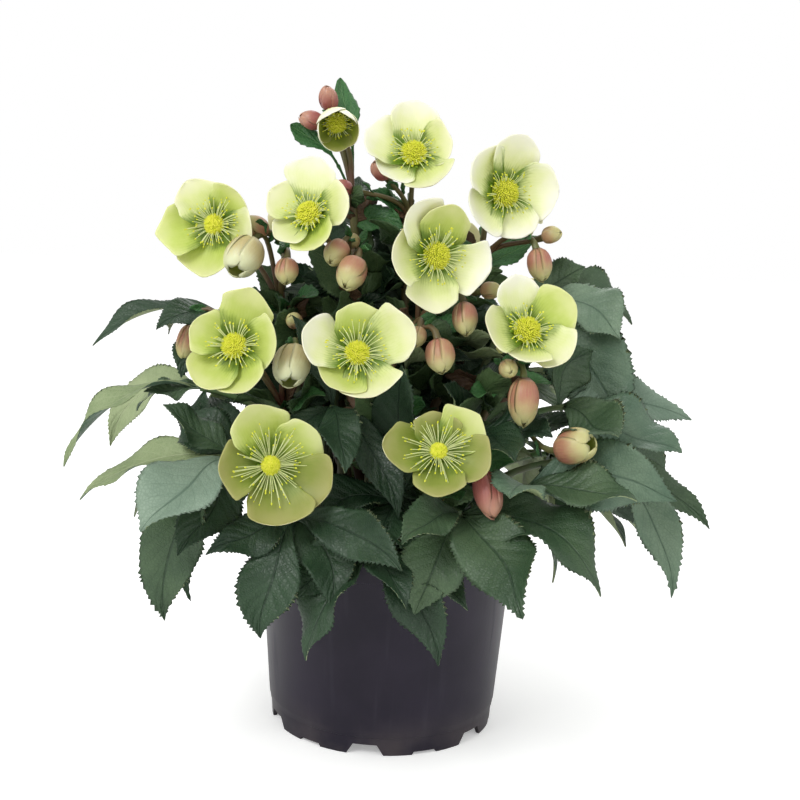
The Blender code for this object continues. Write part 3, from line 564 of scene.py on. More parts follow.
def blade(heap, hub, tip, droop, width, looking, twist, draw, teeth, sides, curl, form):
    """A leaflet or bract with a folded rib, waves along its margin and forward teeth."""
    along, stand = leaf_rows(teeth, TEETH_START, draw)
    points, tangents = rib(hub, tip, droop, along)
    turned = twist + draw.uniform(-TWIST, TWIST) * along[:, None] ** 1.5
    level = unit(np.cross(np.array(looking), tangents))
    aside = level * np.cos(turned) + np.cross(tangents, level) * np.sin(turned)
    normals = np.cross(tangents, aside)
    half = outline(form, along ** draw.uniform(0.85, 1.15)) * width / 2
    u = BLADE_COLUMNS[None, :]
    reach = half[:, None] * u * halves(u, draw, 0.86, 1.08)
    tooth = min(TOOTH, width * TOOTH_SHARE)
    shown = stand * tooth * (half > 1.5 * tooth)
    reach[:, 0] -= shown
    reach[:, -1] += shown
    s = along[:, None]
    bow = draw.uniform(-BOW, BOW) * width * np.sin(np.pi * s) ** 2 * (0.4 + s)
    bow = bow + draw.uniform(-HOOK, HOOK) * width * s**4
    waves, phase = halves(u, draw, 1.0, 2.3), halves(u, draw, 0, 6.3)
    ripple = np.sin(2 * np.pi * waves * s + phase) * np.abs(u) ** 1.8
    pillow = np.sin(2 * np.pi * (8 * s - 2.2 * np.abs(u))) * np.abs(u) * (1 - u * u)
    fold = BLADE_FOLD * draw.uniform(1.3, 3.0)
    high = half[:, None] * (fold * (np.abs(u) ** 1.2 - 1) + RIPPLE * ripple - curl * u * u)
    high = high + PILLOW * pillow * (width / 0.03) - (u == 0) * 0.25 * MM
    high = high - draw.uniform(0, NOD) * width * s**5
    middle = points[:, None] + aside[:, None] * (reach + bow)[..., None]
    middle = middle + normals[:, None] * high[..., None]
    spread = np.broadcast_to(normals[:, None], middle.shape)
    heap.sheet(middle, spread, BLADE_THICK, u, along, sides, draw.random())


def flower_axes(facing, sepal_turn):
    """Two axes across a flower, the first along its first sepal."""
    right = UP.cross(facing).normalized()
    above = facing.cross(right)
    turn = math.radians(sepal_turn)
    first = right * math.cos(turn) + above * math.sin(turn)
    return first, facing.cross(first)


def flower(heap, middle, facing, sepals, bend, draw):
    """Five overlapping sepals, each cupped along and across."""
    first, second = flower_axes(facing, 0)
    along = 1 - (1 - np.linspace(0, 1, 19)) ** 1.25
    s = along[:, None]
    u = np.sin(np.linspace(-1, 1, 13) * np.pi / 2)[None, :]
    face = np.array(facing)
    bell = bend > DEEP_BEND
    mean_length = sum(sepal[1] for sepal in sepals) / len(sepals)
    for layer, (turn, length, sides) in zip(SEPAL_LAYERS, sepals):
        angle = math.radians(turn)
        outward = np.array(first * math.cos(angle) + second * math.sin(angle))
        side = np.cross(face, outward)
        reach = length
        length = (length + mean_length) / 2
        slope = math.radians(bend) * draw.uniform(0.8, 1.2) * along
        slope = slope - draw.uniform(-0.05, 0.25) * np.clip(along - 0.7, 0, 1) ** 2 * 8
        if bell:
            slope = BELL * (1 - (1 - along) ** 1.3)
        mean = (slope[1:] + slope[:-1]) / 2
        step = np.diff(along) * reach
        out = np.concatenate([[0], np.cumsum(np.cos(mean) * step)])
        high = np.concatenate([[0], np.cumsum(np.sin(mean) * step)])
        half = outline(SEPAL_OUTLINE, along ** draw.uniform(0.88, 1.2)) * length
        half = half * (1 - draw.uniform(0.05, 0.45) * np.clip(along - 0.68, 0, 1) * 3)
        lateral = half[:, None] * u * draw.uniform(0.96, 1.1) * (1.2 if bell else 1.0)
        for pull, count in SEPAL_RIPPLES:
            ripple = np.sin(count * np.pi * s + halves(u, draw, 0, 6.3))
            lateral = lateral * (1 + pull * ripple * np.abs(u))
        skew = draw.uniform(-0.07, 0.07) * length * np.sin(np.pi * s)
        cupped = lateral**2 / length * draw.uniform(0.45, 0.95)
        wave = np.sin(s * draw.uniform(5, 8) + draw.uniform(0, 6)) * np.abs(u) ** 3
        lift = high[:, None] + cupped + wave * length * SEPAL_WAVE + layer * 0.1 * MM
        lift = lift + lateral * SCREW - 0.03 * length * np.exp(-((u * 2.6) ** 2)) * np.sin(np.pi * s)
        spot = np.array(middle) + outward * (np.broadcast_to(out[:, None], lift.shape))[..., None]
        if bell:
            fan = lateral / (np.maximum(out[:, None], 0.25 * length) * 1.25)
            spread = outward * np.cos(fan)[..., None] + side * np.sin(fan)[..., None]
            lift = high[:, None] + layer * 0.3 * MM + 0 * u
            spot = np.array(middle) + spread * (out[:, None] + layer * 0.25 * MM)[..., None]
        else:
            spot = spot + side * (lateral + skew)[..., None]
        spot = spot + face * lift[..., None]
        spot[-1] = spot[-1].mean(axis=0)
        normals = np.cross(np.gradient(spot, axis=0), np.gradient(spot, axis=1))
        normals[-1] = normals[-2]
        heap.sheet(spot, unit(normals + 1e-12), SEPAL_THICK, u, along, SEPAL_SETS[sides], draw.random())


def bud(heap, foot, pointing, length, radius, opening, sides, draw):
    """A bud wrapped in five sepals whose edges overlap, a little open at its tip or closed."""
    first, second = flower_axes(pointing, draw.uniform(0, 72))
    along = 1 - (1 - np.linspace(0, 1, 13)) ** 1.2
    s = along[:, None]
    u = np.linspace(-1, 1, 11)[None, :]
    axis = np.array(pointing)
    radius = radius * 0.9
    for k, layer in enumerate(SEPAL_LAYERS):
        wide = math.radians(BUD_WRAP[opening]) * (1 - 0.25 * s**3)
        angle = math.radians(72 * k) + u * wide + 0.35 * s**2
        outward = np.cos(angle)[..., None] * np.array(first) + np.sin(angle)[..., None] * np.array(second)
        swell = outline(BUD_OUTLINE, along)[:, None]
        if opening:
            swell = swell + 0.3 * s**4
        ridge = 0.02 * np.exp(-((u * 3.2) ** 2)) - 0.02 * (1 - np.abs(u))
        reach = radius * (swell * (1 + ridge + 0.015 * (4 - layer)) + 0.02 * (4 - layer))
        rise = length * (s * (1 + 0.02 * layer) - 0.03 * u * u * s)
        spot = np.array(foot) + outward * reach[..., None] + axis * rise[..., None]
        spot[-1] = spot[-1].mean(axis=0)
        heap.sheet(spot, outward, BUD_THICK, u, along, sides, draw.random(), flip=True)


# Nodes: what a node puts out can be added, multiplied and led on


class Wire:
    """What a node puts out, so that sums on it read as sums."""

    def __init__(self, socket):
        self.socket = socket
        self.tree = socket.id_data

    def __add__(self, other):
        return maths("ADD", self, other)

    def __sub__(self, other):
        return maths("SUBTRACT", self, other)

    def __rsub__(self, other):
        return maths("SUBTRACT", other, self)

    def __mul__(self, other):
        return maths("MULTIPLY", self, other)

    def __pow__(self, other):
        return maths("POWER", self, other)

    def __abs__(self):
        return maths("ABSOLUTE", self)

    def lead(self, socket):
        """Links it to a socket."""
        self.tree.links.new(self.socket, socket)


def node(tree, kind, inputs=(), **settings):
    """A node with its settings, and its inputs set to values or linked to wires."""
    made = tree.nodes.new(kind)
    for key, value in settings.items():
        setattr(made, key, value)
    for key, value in dict(inputs).items():
        if isinstance(value, Wire):
            value.lead(made.inputs[key])
        else:
            made.inputs[key].default_value = value
    return made


def wire(tree, kind, inputs=(), output=0, **settings):
    """What a new node puts out."""
    return Wire(node(tree, kind, inputs, **settings).outputs[output])


def maths(operation, *values, clamp=False):
    """One sum on numbers and wires."""
    tree = next(value.tree for value in values if isinstance(value, Wire))
    return wire(tree, "ShaderNodeMath", enumerate(values), operation=operation, use_clamp=clamp)


def new_tree(kind, name, inputs, outputs):
    """A tree with named sockets, given by kind or as a number's first value, and its inputs."""
    tree = bpy.data.node_groups.new(name, kind)
    for way, sockets in (("INPUT", inputs), ("OUTPUT", outputs)):
        for label, given in sockets.items():
            what = given if isinstance(given, str) else "Float"
            socket = tree.interface.new_socket(label, in_out=way, socket_type="NodeSocket" + what)
            if what != given:
                socket.default_value = given
    return tree, {socket.name: Wire(socket) for socket in node(tree, "NodeGroupInput").outputs}


def shape_tree(name, **inputs):
    """A Geometry Nodes tree that turns a mesh into a piece."""
    sockets = {"Geometry": "Geometry"}
    sockets.update((key.replace("_", " "), kind) for key, kind in inputs.items())
    return new_tree("GeometryNodeTree", name, {**sockets, "Material": "Material"}, {"Geometry": "Geometry"})


def named(tree, name, kind="FLOAT"):
    """A field that the points carry by name."""
    return wire(tree, "GeometryNodeInputNamedAttribute", {"Name": name}, data_type=kind)


def end_tree(tree, given, shape):
    """The end of a tree: real geometry with smooth faces and its material."""
    real = wire(tree, "GeometryNodeRealizeInstances", {"Geometry": shape})
    smooth = wire(tree, "GeometryNodeSetShadeSmooth", {"Geometry": real})
    done = wire(tree, "GeometryNodeSetMaterial", {"Geometry": smooth, "Material": given["Material"]})
    node(tree, "NodeGroupOutput", {"Geometry": done})
    return tree


def tube_tree():
    """Tubes along the edges of a mesh, as thick as its points say, with a grown, uneven skin."""
    tree, given = shape_tree("stalk skin", Sides="Int", Relief="Float", Relief_Scale="Float")
    curve = wire(tree, "GeometryNodeMeshToCurve", {"Mesh": given["Geometry"]})
    ring = wire(tree, "GeometryNodeCurvePrimitiveCircle", {"Resolution": given["Sides"], "Radius": 1.0})
    sweep = {"Curve": curve, "Profile Curve": ring, "Scale": named(tree, "thick"), "Fill Caps": True}
    tube = wire(tree, "GeometryNodeCurveToMesh", sweep)
    noise = wire(tree, "ShaderNodeTexNoise", {"Scale": given["Relief Scale"], "Detail": 2.0})
    outward = wire(tree, "GeometryNodeInputNormal")
    relief = {0: outward, "Scale": (noise - 0.5) * given["Relief"]}
    offset = wire(tree, "ShaderNodeVectorMath", relief, operation="SCALE")
    moved = wire(tree, "GeometryNodeSetPosition", {"Geometry": tube, "Offset": offset})
    return end_tree(tree, given, moved)


def scatter_tree():
    """One small shape on every point, turned along the point's aim and scaled by its size."""
    tree, given = shape_tree("scatter", Shape="Object", Seed="Int")
    dots = wire(tree, "GeometryNodeMeshToPoints", {"Mesh": given["Geometry"]})
    shape = wire(tree, "GeometryNodeObjectInfo", {"Object": given["Shape"]}, "Geometry")
    towards = {"Vector": named(tree, "aim", "FLOAT_VECTOR")}
    turn = wire(tree, "FunctionNodeAlignRotationToVector", towards, axis="Z")
    angle = wire(tree, "FunctionNodeRandomValue", {3: 6.28, "Seed": given["Seed"]}, 1, data_type="FLOAT")
    spin = wire(tree, "FunctionNodeAxisAngleToRotation", {"Axis": (0.0, 0.0, 1.0), "Angle": angle})
    both = wire(tree, "FunctionNodeRotateRotation", {0: turn, 1: spin}, rotation_space="LOCAL")
    sized = {"Rotation": both, "Scale": named(tree, "size", "FLOAT_VECTOR")}
    copies = wire(tree, "GeometryNodeInstanceOnPoints", {"Points": dots, "Instance": shape, **sized})
    return end_tree(tree, given, copies)


def grown(name, mesh, tree, values):
    """The plain mesh that a tree makes from a mesh, as an object."""
    item = add_item(name, mesh)
    modifier = item.modifiers.new("Grow", "NODES")
    modifier.node_group = tree
    for socket in tree.interface.items_tree:
        if socket.in_out == "INPUT" and socket.name in values:
            modifier[socket.identifier] = values[socket.name]
    settle(item, modifier)
    item.data.name = name
    return item


def path_mesh(name, paths):
    """Edges along each path, with its thickness and how far along it each point is."""
    mesh = bpy.data.meshes.new(name)
    edges, start = [], 0
    for points, _, _ in paths:
        edges += [(i, i + 1) for i in range(start, start + len(points) - 1)]
        start += len(points)
    mesh.from_pydata(np.concatenate([path[0] for path in paths]).tolist(), edges, [])
    for column, label in ((1, "thick"), (2, "ripe")):
        carry(mesh, label, np.concatenate([np.broadcast_to(p[column], len(p[0])) for p in paths]))
    return mesh


def point_mesh(name, spots):
    """Points that each carry an aim and a size."""
    mesh = bpy.data.meshes.new(name)
    mesh.from_pydata([tuple(spot[0]) for spot in spots], [], [])
    for column, label in ((1, "aim"), (2, "size")):
        carry(mesh, label, np.array([spot[column] for spot in spots], float))
    return mesh


# Materials


def ramp(value, low, high):
    """0 below low, 1 above high, and eased between them."""
    inputs = {"Value": value, "From Min": low, "From Max": high}
    kind = "SMOOTHSTEP"
    return wire(value.tree, "ShaderNodeMapRange", inputs, "Result", interpolation_type=kind)


def blend(factor, first, second):
    """One colour over another by a factor."""
    colours = [colour if isinstance(colour, Wire) else (*colour, 1) for colour in (first, second)]
    inputs = zip((0, 6, 7), (factor, *colours))
    return wire(factor.tree, "ShaderNodeMix", inputs, 2, data_type="RGBA")


def noise_at(tree, spot, scale, detail):
    """Soft noise at a spot."""
    return wire(tree, "ShaderNodeTexNoise", {"Vector": spot, "Scale": scale, "Detail": detail})


def object_place(tree):
    """A point's place on the object."""
    return wire(tree, "ShaderNodeTexCoord", output="Object")


def blade_place(tree):
    """How far across its blade a point is, from -1 to 1, and how far along, from 0."""
    spot = wire(tree, "ShaderNodeUVMap", uv_map="blade")
    across, along = node(tree, "ShaderNodeSeparateXYZ", {0: spot}).outputs[:2]
    return Wire(across) * 2.0 - 1.0, Wire(along)


def line_wave(count):
    """How far a point is from the nearest line: 0 on it and a half between two."""
    return abs(maths("FRACT", count) - 0.5)


def vein_group():
    """Rib and curved side veins of a leaf, from its place on the blade."""
    outputs = dict.fromkeys(("Mask", "Height", "Margin"), "Float")
    tree, given = new_tree("ShaderNodeTree", "leaf veins", {"Side Veins": 9.0, "Slant": 2.2}, outputs)
    spot = object_place(tree)
    wobble = (noise_at(tree, spot, 260.0, 2.0) - 0.5) * 0.25
    signed, along = blade_place(tree)
    across = abs(signed)
    wave = line_wave(along * given["Side Veins"] - across**0.85 * given["Slant"] + wobble)
    side = (1.0 - ramp(wave, 0.0, 0.06)) * (1.0 - ramp(across, 0.55, 1.0))
    main = 1.0 - ramp(across, 0.01, 0.06)
    net = {"Vector": spot, "Scale": 520.0}
    cells = ramp(wire(tree, "ShaderNodeTexVoronoi", net, feature="DISTANCE_TO_EDGE"), 0.0, 0.2)
    mask = maths("MAXIMUM", maths("MAXIMUM", side * 0.6, main), (1.0 - cells) * 0.3)
    high = cells * 0.3 + ramp(wave, 0.0, 0.4) * 0.6 - main * 0.9
    node(tree, "NodeGroupOutput", {"Mask": mask, "Height": high, "Margin": ramp(across, 0.9, 1.0)})
    return tree


def petal_group():
    """Masks over a sepal: its foot, its margin and its fine lengthwise veins."""
    outputs = dict.fromkeys(("Foot", "Margin", "Veins", "Height"), "Float")
    tree, given = new_tree("ShaderNodeTree", "petal masks", {"Foot": 0.3, "Veins": 9.0}, outputs)
    wobble = noise_at(tree, object_place(tree), 180.0, 3.0) - 0.5
    signed, along = blade_place(tree)
    wave = line_wave((signed + wobble * 0.22) * given["Veins"])
    veins = (1.0 - ramp(wave, 0.0, 0.22)) * (1.0 - ramp(along, 0.35, 0.95))
    streak = along + wobble * 0.25 - veins * 0.05
    foot = 1.0 - ramp(streak, given["Foot"] * 0.4, given["Foot"])
    far = maths("MAXIMUM", ramp(along, 0.6, 1.0), ramp(abs(signed), 0.55, 1.0))
    margin = maths("ADD", far, wobble * 0.5, clamp=True)
    high = veins * 0.5 + wobble * 0.6
    node(tree, "NodeGroupOutput", {"Foot": foot, "Margin": margin, "Veins": veins, "Height": high})
    return tree


def mottle_group():
    """Soft uneven patches, and each blade's own tint, for colour and gloss."""
    inputs = {"Scale": 60.0, "Tint": 0.5}
    tree, given = new_tree("ShaderNodeTree", "mottle", inputs, {"Mask": "Float"})
    patch = ramp(noise_at(tree, object_place(tree), given["Scale"], 4.0), 0.3, 0.7)
    own = wire(tree, "ShaderNodeAttribute", output="Fac", attribute_name="tint")
    mixed = wire(tree, "ShaderNodeMix", {0: given["Tint"], 2: patch, 3: own}, data_type="FLOAT")
    node(tree, "NodeGroupOutput", {"Mask": mixed})
    return tree


effects = {tree.name: tree for tree in (vein_group(), petal_group(), mottle_group())}
materials = {}


def placed(tree, effect, **values):
    """What an effect puts out in a material, with that material's own values."""
    made = node(tree, "ShaderNodeGroup", node_tree=effects[effect])
    for key, value in values.items():
        made.inputs[key.replace("_", " ")].default_value = value
    return {socket.name: Wire(socket) for socket in made.outputs}


def new_material(name, roughness, **fixed):
    """A material's tree and its surface, with values that are the same all over."""
    material = materials[name] = bpy.data.materials.new(name)
    material.use_nodes = True
    surface = material.node_tree.nodes["Principled BSDF"].inputs
    surface["Roughness"].default_value = roughness
    for key, value in fixed.items():
        surface[key.replace("_", " ")].default_value = value
    return material.node_tree, surface


def bump(surface, height, strength, distance=0.0004):
    """Fine relief on a surface."""
    inputs = {"Height": height, "Strength": strength, "Distance": distance}
    wire(height.tree, "ShaderNodeBump", inputs).lead(surface["Normal"])


def leaf_skin(name, dark, light, vein_and_shade, roughness, veins=9.0):
    """A leathery leaf: two greens in patches, veins and a quilted relief. The vein colour is paler on
    undersides and bracts, and darker on upper sides, where it is painted shade in the sunken veins.
    """
    tree, surface = new_material(name, roughness, Specular_IOR_Level=0.42)
    pattern = placed(tree, "leaf veins", Side_Veins=veins)
    patches = placed(tree, "mottle", Scale=38.0, Tint=0.5)["Mask"]
    base = blend(pattern["Margin"] * 0.3, blend(patches, dark, light), light)
    # Veins in their own colour: paler on undersides and bracts, darker on upper sides as painted shade in
    # the sunken veins.
    blend(pattern["Mask"] * 0.7, base, vein_and_shade).lead(surface["Base Color"])
    (patches * 0.14 + (roughness - 0.07)).lead(surface["Roughness"])
    bump(surface, pattern["Height"], 0.7, 0.0006)


def waxy(name, roughness, weight, radius):
    """A surface that light gets a little way into."""
    depth = {"Subsurface_Weight": weight, "Subsurface_Radius": radius, "Subsurface_Scale": 1.0}
    return new_material(name, roughness, **depth)


def sepal_skin(name, body, margin, foot, throat_and_shade, flush):
    """A waxy sepal: pale margin, greener foot, a deep green throat that is partly painted shade in the cup,
    and a warm flush in patches.
    """
    tree, surface = waxy(name, 0.5, 0.2, (0.003, 0.003, 0.0015))
    wide = placed(tree, "petal masks", Foot=0.8)
    near = placed(tree, "petal masks", Foot=0.5)
    patches = placed(tree, "mottle", Scale=45.0, Tint=0.5)["Mask"]
    colour = blend(wide["Margin"], body, margin)
    colour = blend(patches * 0.3, colour, flush)
    colour = blend(wide["Foot"] * 0.6, colour, foot)
    colour = blend(wide["Veins"] * 0.07, colour, foot)
    # The throat round the boss: its own deep green, deepened with painted shade of the cup.
    blend(near["Foot"], colour, throat_and_shade).lead(surface["Base Color"])
    bump(surface, wide["Height"], 0.12)


def bud_skin(name, foot, tip, ridge):
    """A bud sepal: flushed below, paler at its tip, with darker lengthwise lines."""
    tree, surface = waxy(name, 0.42, 0.15, (0.003, 0.002, 0.001))
    masks = placed(tree, "petal masks", Foot=0.95, Veins=5.0)
    patches = placed(tree, "mottle", Scale=120.0, Tint=0.3)["Mask"]
    colour = blend(masks["Foot"], tip, foot)
    colour = blend(masks["Veins"] * 0.18, colour, ridge)
    colour = blend(patches * 0.35, colour, ridge)
    blend(masks["Margin"] * 0.3, colour, tip).lead(surface["Base Color"])
    bump(surface, masks["Height"], 0.4)


def plain_skin(name, first, second, roughness, scale, strength):
    """Two colours in soft patches with a fine relief."""
    tree, surface = new_material(name, roughness)
    patches = placed(tree, "mottle", Scale=scale, Tint=0.0)["Mask"]
    blend(patches, first, second).lead(surface["Base Color"])
    bump(surface, patches, strength)


def stem_skin(name, young, old):
    """A stem that is green where it is young and red-brown where it is older."""
    tree, surface = new_material(name, 0.45)
    ripe = wire(tree, "ShaderNodeAttribute", output="Fac", attribute_name="ripe")
    patches = placed(tree, "mottle", Scale=55.0, Tint=0.0)["Mask"]
    age = maths("ADD", ripe, (patches - 0.5) * 0.5, clamp=True)
    blend(age, young, old).lead(surface["Base Color"])
    bump(surface, patches, 0.3)


def pot_skin(name, dark, light, scuffed, dust):
    """Dark moulded plastic with a faint grain, rubbed patches and dust low down."""
    tree, surface = new_material(name, 0.4, Specular_IOR_Level=0.25)
    spot = object_place(tree)
    patches = placed(tree, "mottle", Scale=28.0, Tint=0.0)["Mask"]
    stretched = wire(tree, "ShaderNodeMapping", {"Vector": spot, "Scale": (1.0, 1.0, 0.06)})
    streak = ramp(noise_at(tree, stretched, 160.0, 4.0), 0.52, 0.78)
    height = wire(tree, "ShaderNodeSeparateXYZ", {0: spot}, 2)
    dusty = (1.0 - ramp(height, 0.0, 0.03)) * 0.35
    colour = blend(streak * 0.3, blend(patches, dark, light), scuffed)
    blend(dusty * patches, colour, dust).lead(surface["Base Color"])
    (streak * 0.16 + 0.36).lead(surface["Roughness"])
    bump(surface, noise_at(tree, spot, 900.0, 2.0), 0.12, 0.0003)


# Each finish: the function that makes it, its name, its colours and its other values.
FINISHES = (
    (pot_skin, "pot plastic", (0.0145, 0.0115, 0.022), (0.021, 0.0165, 0.03), (0.05, 0.044, 0.062),
     (0.12, 0.1, 0.09)),
    (plain_skin, "moist compost", (0.018, 0.011, 0.007), (0.055, 0.034, 0.02), 0.95, 240.0, 0.9),
    (plain_skin, "compost crumbs", (0.02, 0.013, 0.009), (0.085, 0.055, 0.034), 0.95, 120.0, 0.8),
    (stem_skin, "stem skin", (0.13, 0.17, 0.05), (0.13, 0.045, 0.032)),
    (stem_skin, "leaf stalk skin", (0.09, 0.17, 0.06), (0.11, 0.06, 0.045)),
    # On the four upper-side greens the third colour, on the veins, is darker than both: painted shade in
    # the sunken veins.
    (leaf_skin, "leaf dark green", (0.008, 0.026, 0.011), (0.036, 0.078, 0.036),
     (0.007, 0.022, 0.01), 0.42),
    (leaf_skin, "leaf mid green", (0.022, 0.055, 0.025), (0.088, 0.146, 0.07), (0.015, 0.038, 0.018), 0.42),
    (leaf_skin, "leaf grey green", (0.085, 0.15, 0.098), (0.25, 0.34, 0.25), (0.055, 0.11, 0.07), 0.46),
    # A lighter, bluer green on right-hand leaflets: partly their own tone, partly painted highlight.
    (leaf_skin, "leaf soft green and highlight", (0.068, 0.13, 0.08), (0.21, 0.295, 0.195), (0.045, 0.092, 0.055), 0.44),
    (leaf_skin, "leaf underside", (0.17, 0.24, 0.1), (0.36, 0.43, 0.23), (0.42, 0.48, 0.28), 0.6),
    (leaf_skin, "bract green", (0.022, 0.1, 0.03), (0.06, 0.19, 0.055), (0.13, 0.28, 0.09), 0.45, 6.0),
    (leaf_skin, "bract underside", (0.03, 0.075, 0.025), (0.075, 0.13, 0.045),
     (0.12, 0.18, 0.07), 0.55, 6.0),
    (leaf_skin, "bract brown", (0.06, 0.03, 0.018), (0.15, 0.085, 0.045), (0.17, 0.11, 0.05), 0.55, 6.0),
    # The sepal skins' fourth colour, for the throat, is partly painted shade in the cup round the boss.
    (sepal_skin, "sepal cream", (0.74, 0.8, 0.36), (0.87, 0.88, 0.57), (0.52, 0.64, 0.12),
     (0.1, 0.19, 0.008), (0.74, 0.68, 0.42)),
    (sepal_skin, "sepal pale", (0.87, 0.91, 0.53), (0.97, 0.97, 0.78), (0.66, 0.76, 0.2),
     (0.12, 0.22, 0.008), (0.9, 0.84, 0.62)),
    # Greener and darker than the cream: partly the sepals' own lime, partly painted shade on sepals that
    # lie under others.
    (sepal_skin, "sepal lime and shade", (0.53, 0.64, 0.14), (0.72, 0.77, 0.34), (0.38, 0.51, 0.04),
     (0.1, 0.18, 0.006), (0.6, 0.56, 0.26)),
    (sepal_skin, "sepal olive", (0.24, 0.3, 0.04), (0.37, 0.38, 0.12), (0.185, 0.26, 0.016),
     (0.12, 0.19, 0.008), (0.36, 0.27, 0.13)),
    (sepal_skin, "sepal outside", (0.55, 0.6, 0.27), (0.7, 0.7, 0.42), (0.42, 0.48, 0.14),
     (0.3, 0.4, 0.08), (0.62, 0.4, 0.3)),
    (bud_skin, "bud pink", (0.42, 0.15, 0.11), (0.58, 0.56, 0.24), (0.5, 0.38, 0.16)),
    (bud_skin, "bud red", (0.36, 0.1, 0.09), (0.52, 0.27, 0.18), (0.42, 0.15, 0.12)),
    (bud_skin, "bud tan", (0.4, 0.22, 0.12), (0.52, 0.48, 0.2), (0.44, 0.38, 0.16)),
    (bud_skin, "bud cream", (0.52, 0.42, 0.2), (0.74, 0.76, 0.46), (0.56, 0.5, 0.24)),
    (plain_skin, "filament", (0.6, 0.68, 0.26), (0.74, 0.78, 0.4), 0.5, 400.0, 0.1),
    (plain_skin, "anther", (0.62, 0.66, 0.02), (0.8, 0.79, 0.08), 0.7, 500.0, 0.4),
    (plain_skin, "boss core", (0.38, 0.43, 0.02), (0.55, 0.58, 0.05), 0.7, 700.0, 0.8),
    (plain_skin, "nectary", (0.14, 0.27, 0.01), (0.26, 0.4, 0.03), 0.5, 400.0, 0.3),
)
for make_skin, *values in FINISHES:
    make_skin(*values)
tubes = tube_tree()
scatter = scatter_tree()

# Everything that grows is gathered here before the pieces are made.
stem_paths, stalk_paths, leaf_stalk_paths, filament_paths = [], [], [], []
anthers, nectaries, cores = [], [], []
front_sepals, back_sepals, bud_heap = Heap(), Heap(), Heap()
front_bracts, back_bracts = Heap(), Heap()
leaf_heaps = {"front": Heap(), "inner": Heap(), "back": Heap()}


def stem_line(name):
    """Points of a flowering stem from the compost to its tip, and its last direction."""
    (foot_x, foot_y), tip = STEMS[name]
    foot = Vector((foot_x * MM, foot_y * MM, COMPOST_TOP))
    tip = at(tip)
    height = tip.z - foot.z
    lean = Vector((tip.x - foot.x, tip.y - foot.y, 0))
    push = tip - UP * (height * 0.4) - lean * 0.45
    return bezier(foot, foot + UP * (height * 0.35), push, tip, 16)


def stamens(middle, facing, length, opened, draw):
    """The boss in a flower: packed anthers, threads with anthers round them, green cups below."""
    first, second = flower_axes(facing, 0)
    core = length * (BOSS[0] - BOSS[1] * opened)

    def around(turn):
        return first * math.cos(turn) + second * math.sin(turn)

    for i in range(BOSS_ANTHERS):
        ring = math.sqrt((i + 0.5) / BOSS_ANTHERS)
        spread = around(i * SPIRAL)
        out = (spread * ring + facing * (1.1 - 0.7 * ring * ring)).normalized()
        high = 2.6 * MM + core * (0.85 - 0.6 * ring * ring) * draw.uniform(0.85, 1.1)
        size = draw.uniform(0.48, 0.66) * MM
        spot = middle + spread * (ring * core) + facing * high
        anthers.append((spot, out, (size, size, size * 1.4)))
    cores.append((middle + facing * 2.2 * MM, facing, (core * 0.93, core * 0.93, core * 0.75)))
    for i in range(CUPS):
        spread = around(2 * math.pi * i / CUPS)
        size = draw.uniform(0.8, 1.1) * MM
        spot = middle + spread * (core * 0.9 + 1.2 * MM) + facing * 2 * MM
        nectaries.append((spot, (spread + facing).normalized(), (size, size, size * 2)))
    for i in range(THREADS[0] + round(THREADS[1] * opened)):
        spread = around(i * SPIRAL + draw.uniform(-0.2, 0.2))
        reach = length * (0.27 + draw.random() * (0.15 + 0.2 * opened))
        rise = length * draw.uniform(0.2, 0.34) * (1 - 0.2 * opened)
        start = middle + spread * (core * 0.6) + facing * 1.5 * MM
        end = middle + spread * reach + facing * rise
        pull = start + facing * (rise * 0.5) + spread * (reach * 0.1)
        points, heading = bezier(start, pull, end - spread * (reach * 0.3), end, 5)
        filament_paths.append((points, THREAD_RADIUS, 0.0))
        size = draw.uniform(0.4, 0.55) * MM
        anthers.append((end, heading, (size, size * 0.75, size * 1.6)))


def stalk(root, lead, end, facing, radii, red):
    """A thin stalk that leaves its stem along lead and meets a flower from behind."""
    pull = (end - root).length * STALK_PULL
    points, _ = bezier(root, root + lead * pull, end - facing * pull, end, 12)
    thick = np.linspace(*radii, len(points))
    thick[-3:] *= (1.1, 1.4, 1.75)
    stalk_paths.append((points, thick, np.linspace(red, red * 0.35, len(points))))
    return points


def any_face(draw):
    """A slanted direction for a small leaf to look in."""
    return (UP * draw.uniform(0.2, 0.7) + aim(draw.uniform(0, 360), 0)).normalized()


def small_bract(heap, points, step, length, draw):
    """A little leaf that sheathes a stalk near its bud or flower."""
    start = Vector(points[step])
    ahead = (Vector(points[step + 1]) - start).normalized()
    side = Matrix.Rotation(draw.uniform(0, 6.28), 3, ahead) @ ahead.orthogonal().normalized()
    tip = start + (ahead * 0.8 + side * 0.55 + UP * 0.1).normalized() * length
    looking = (side.cross(ahead).cross(ahead) * -1 + UP * 0.3).normalized()
    width = length * draw.uniform(0.42, 0.6)
    blade(heap, start, tip, 35, width, looking, 0, draw, 4, BRACT_SETS["sheath"], 0.05, BRACT_OUTLINE)


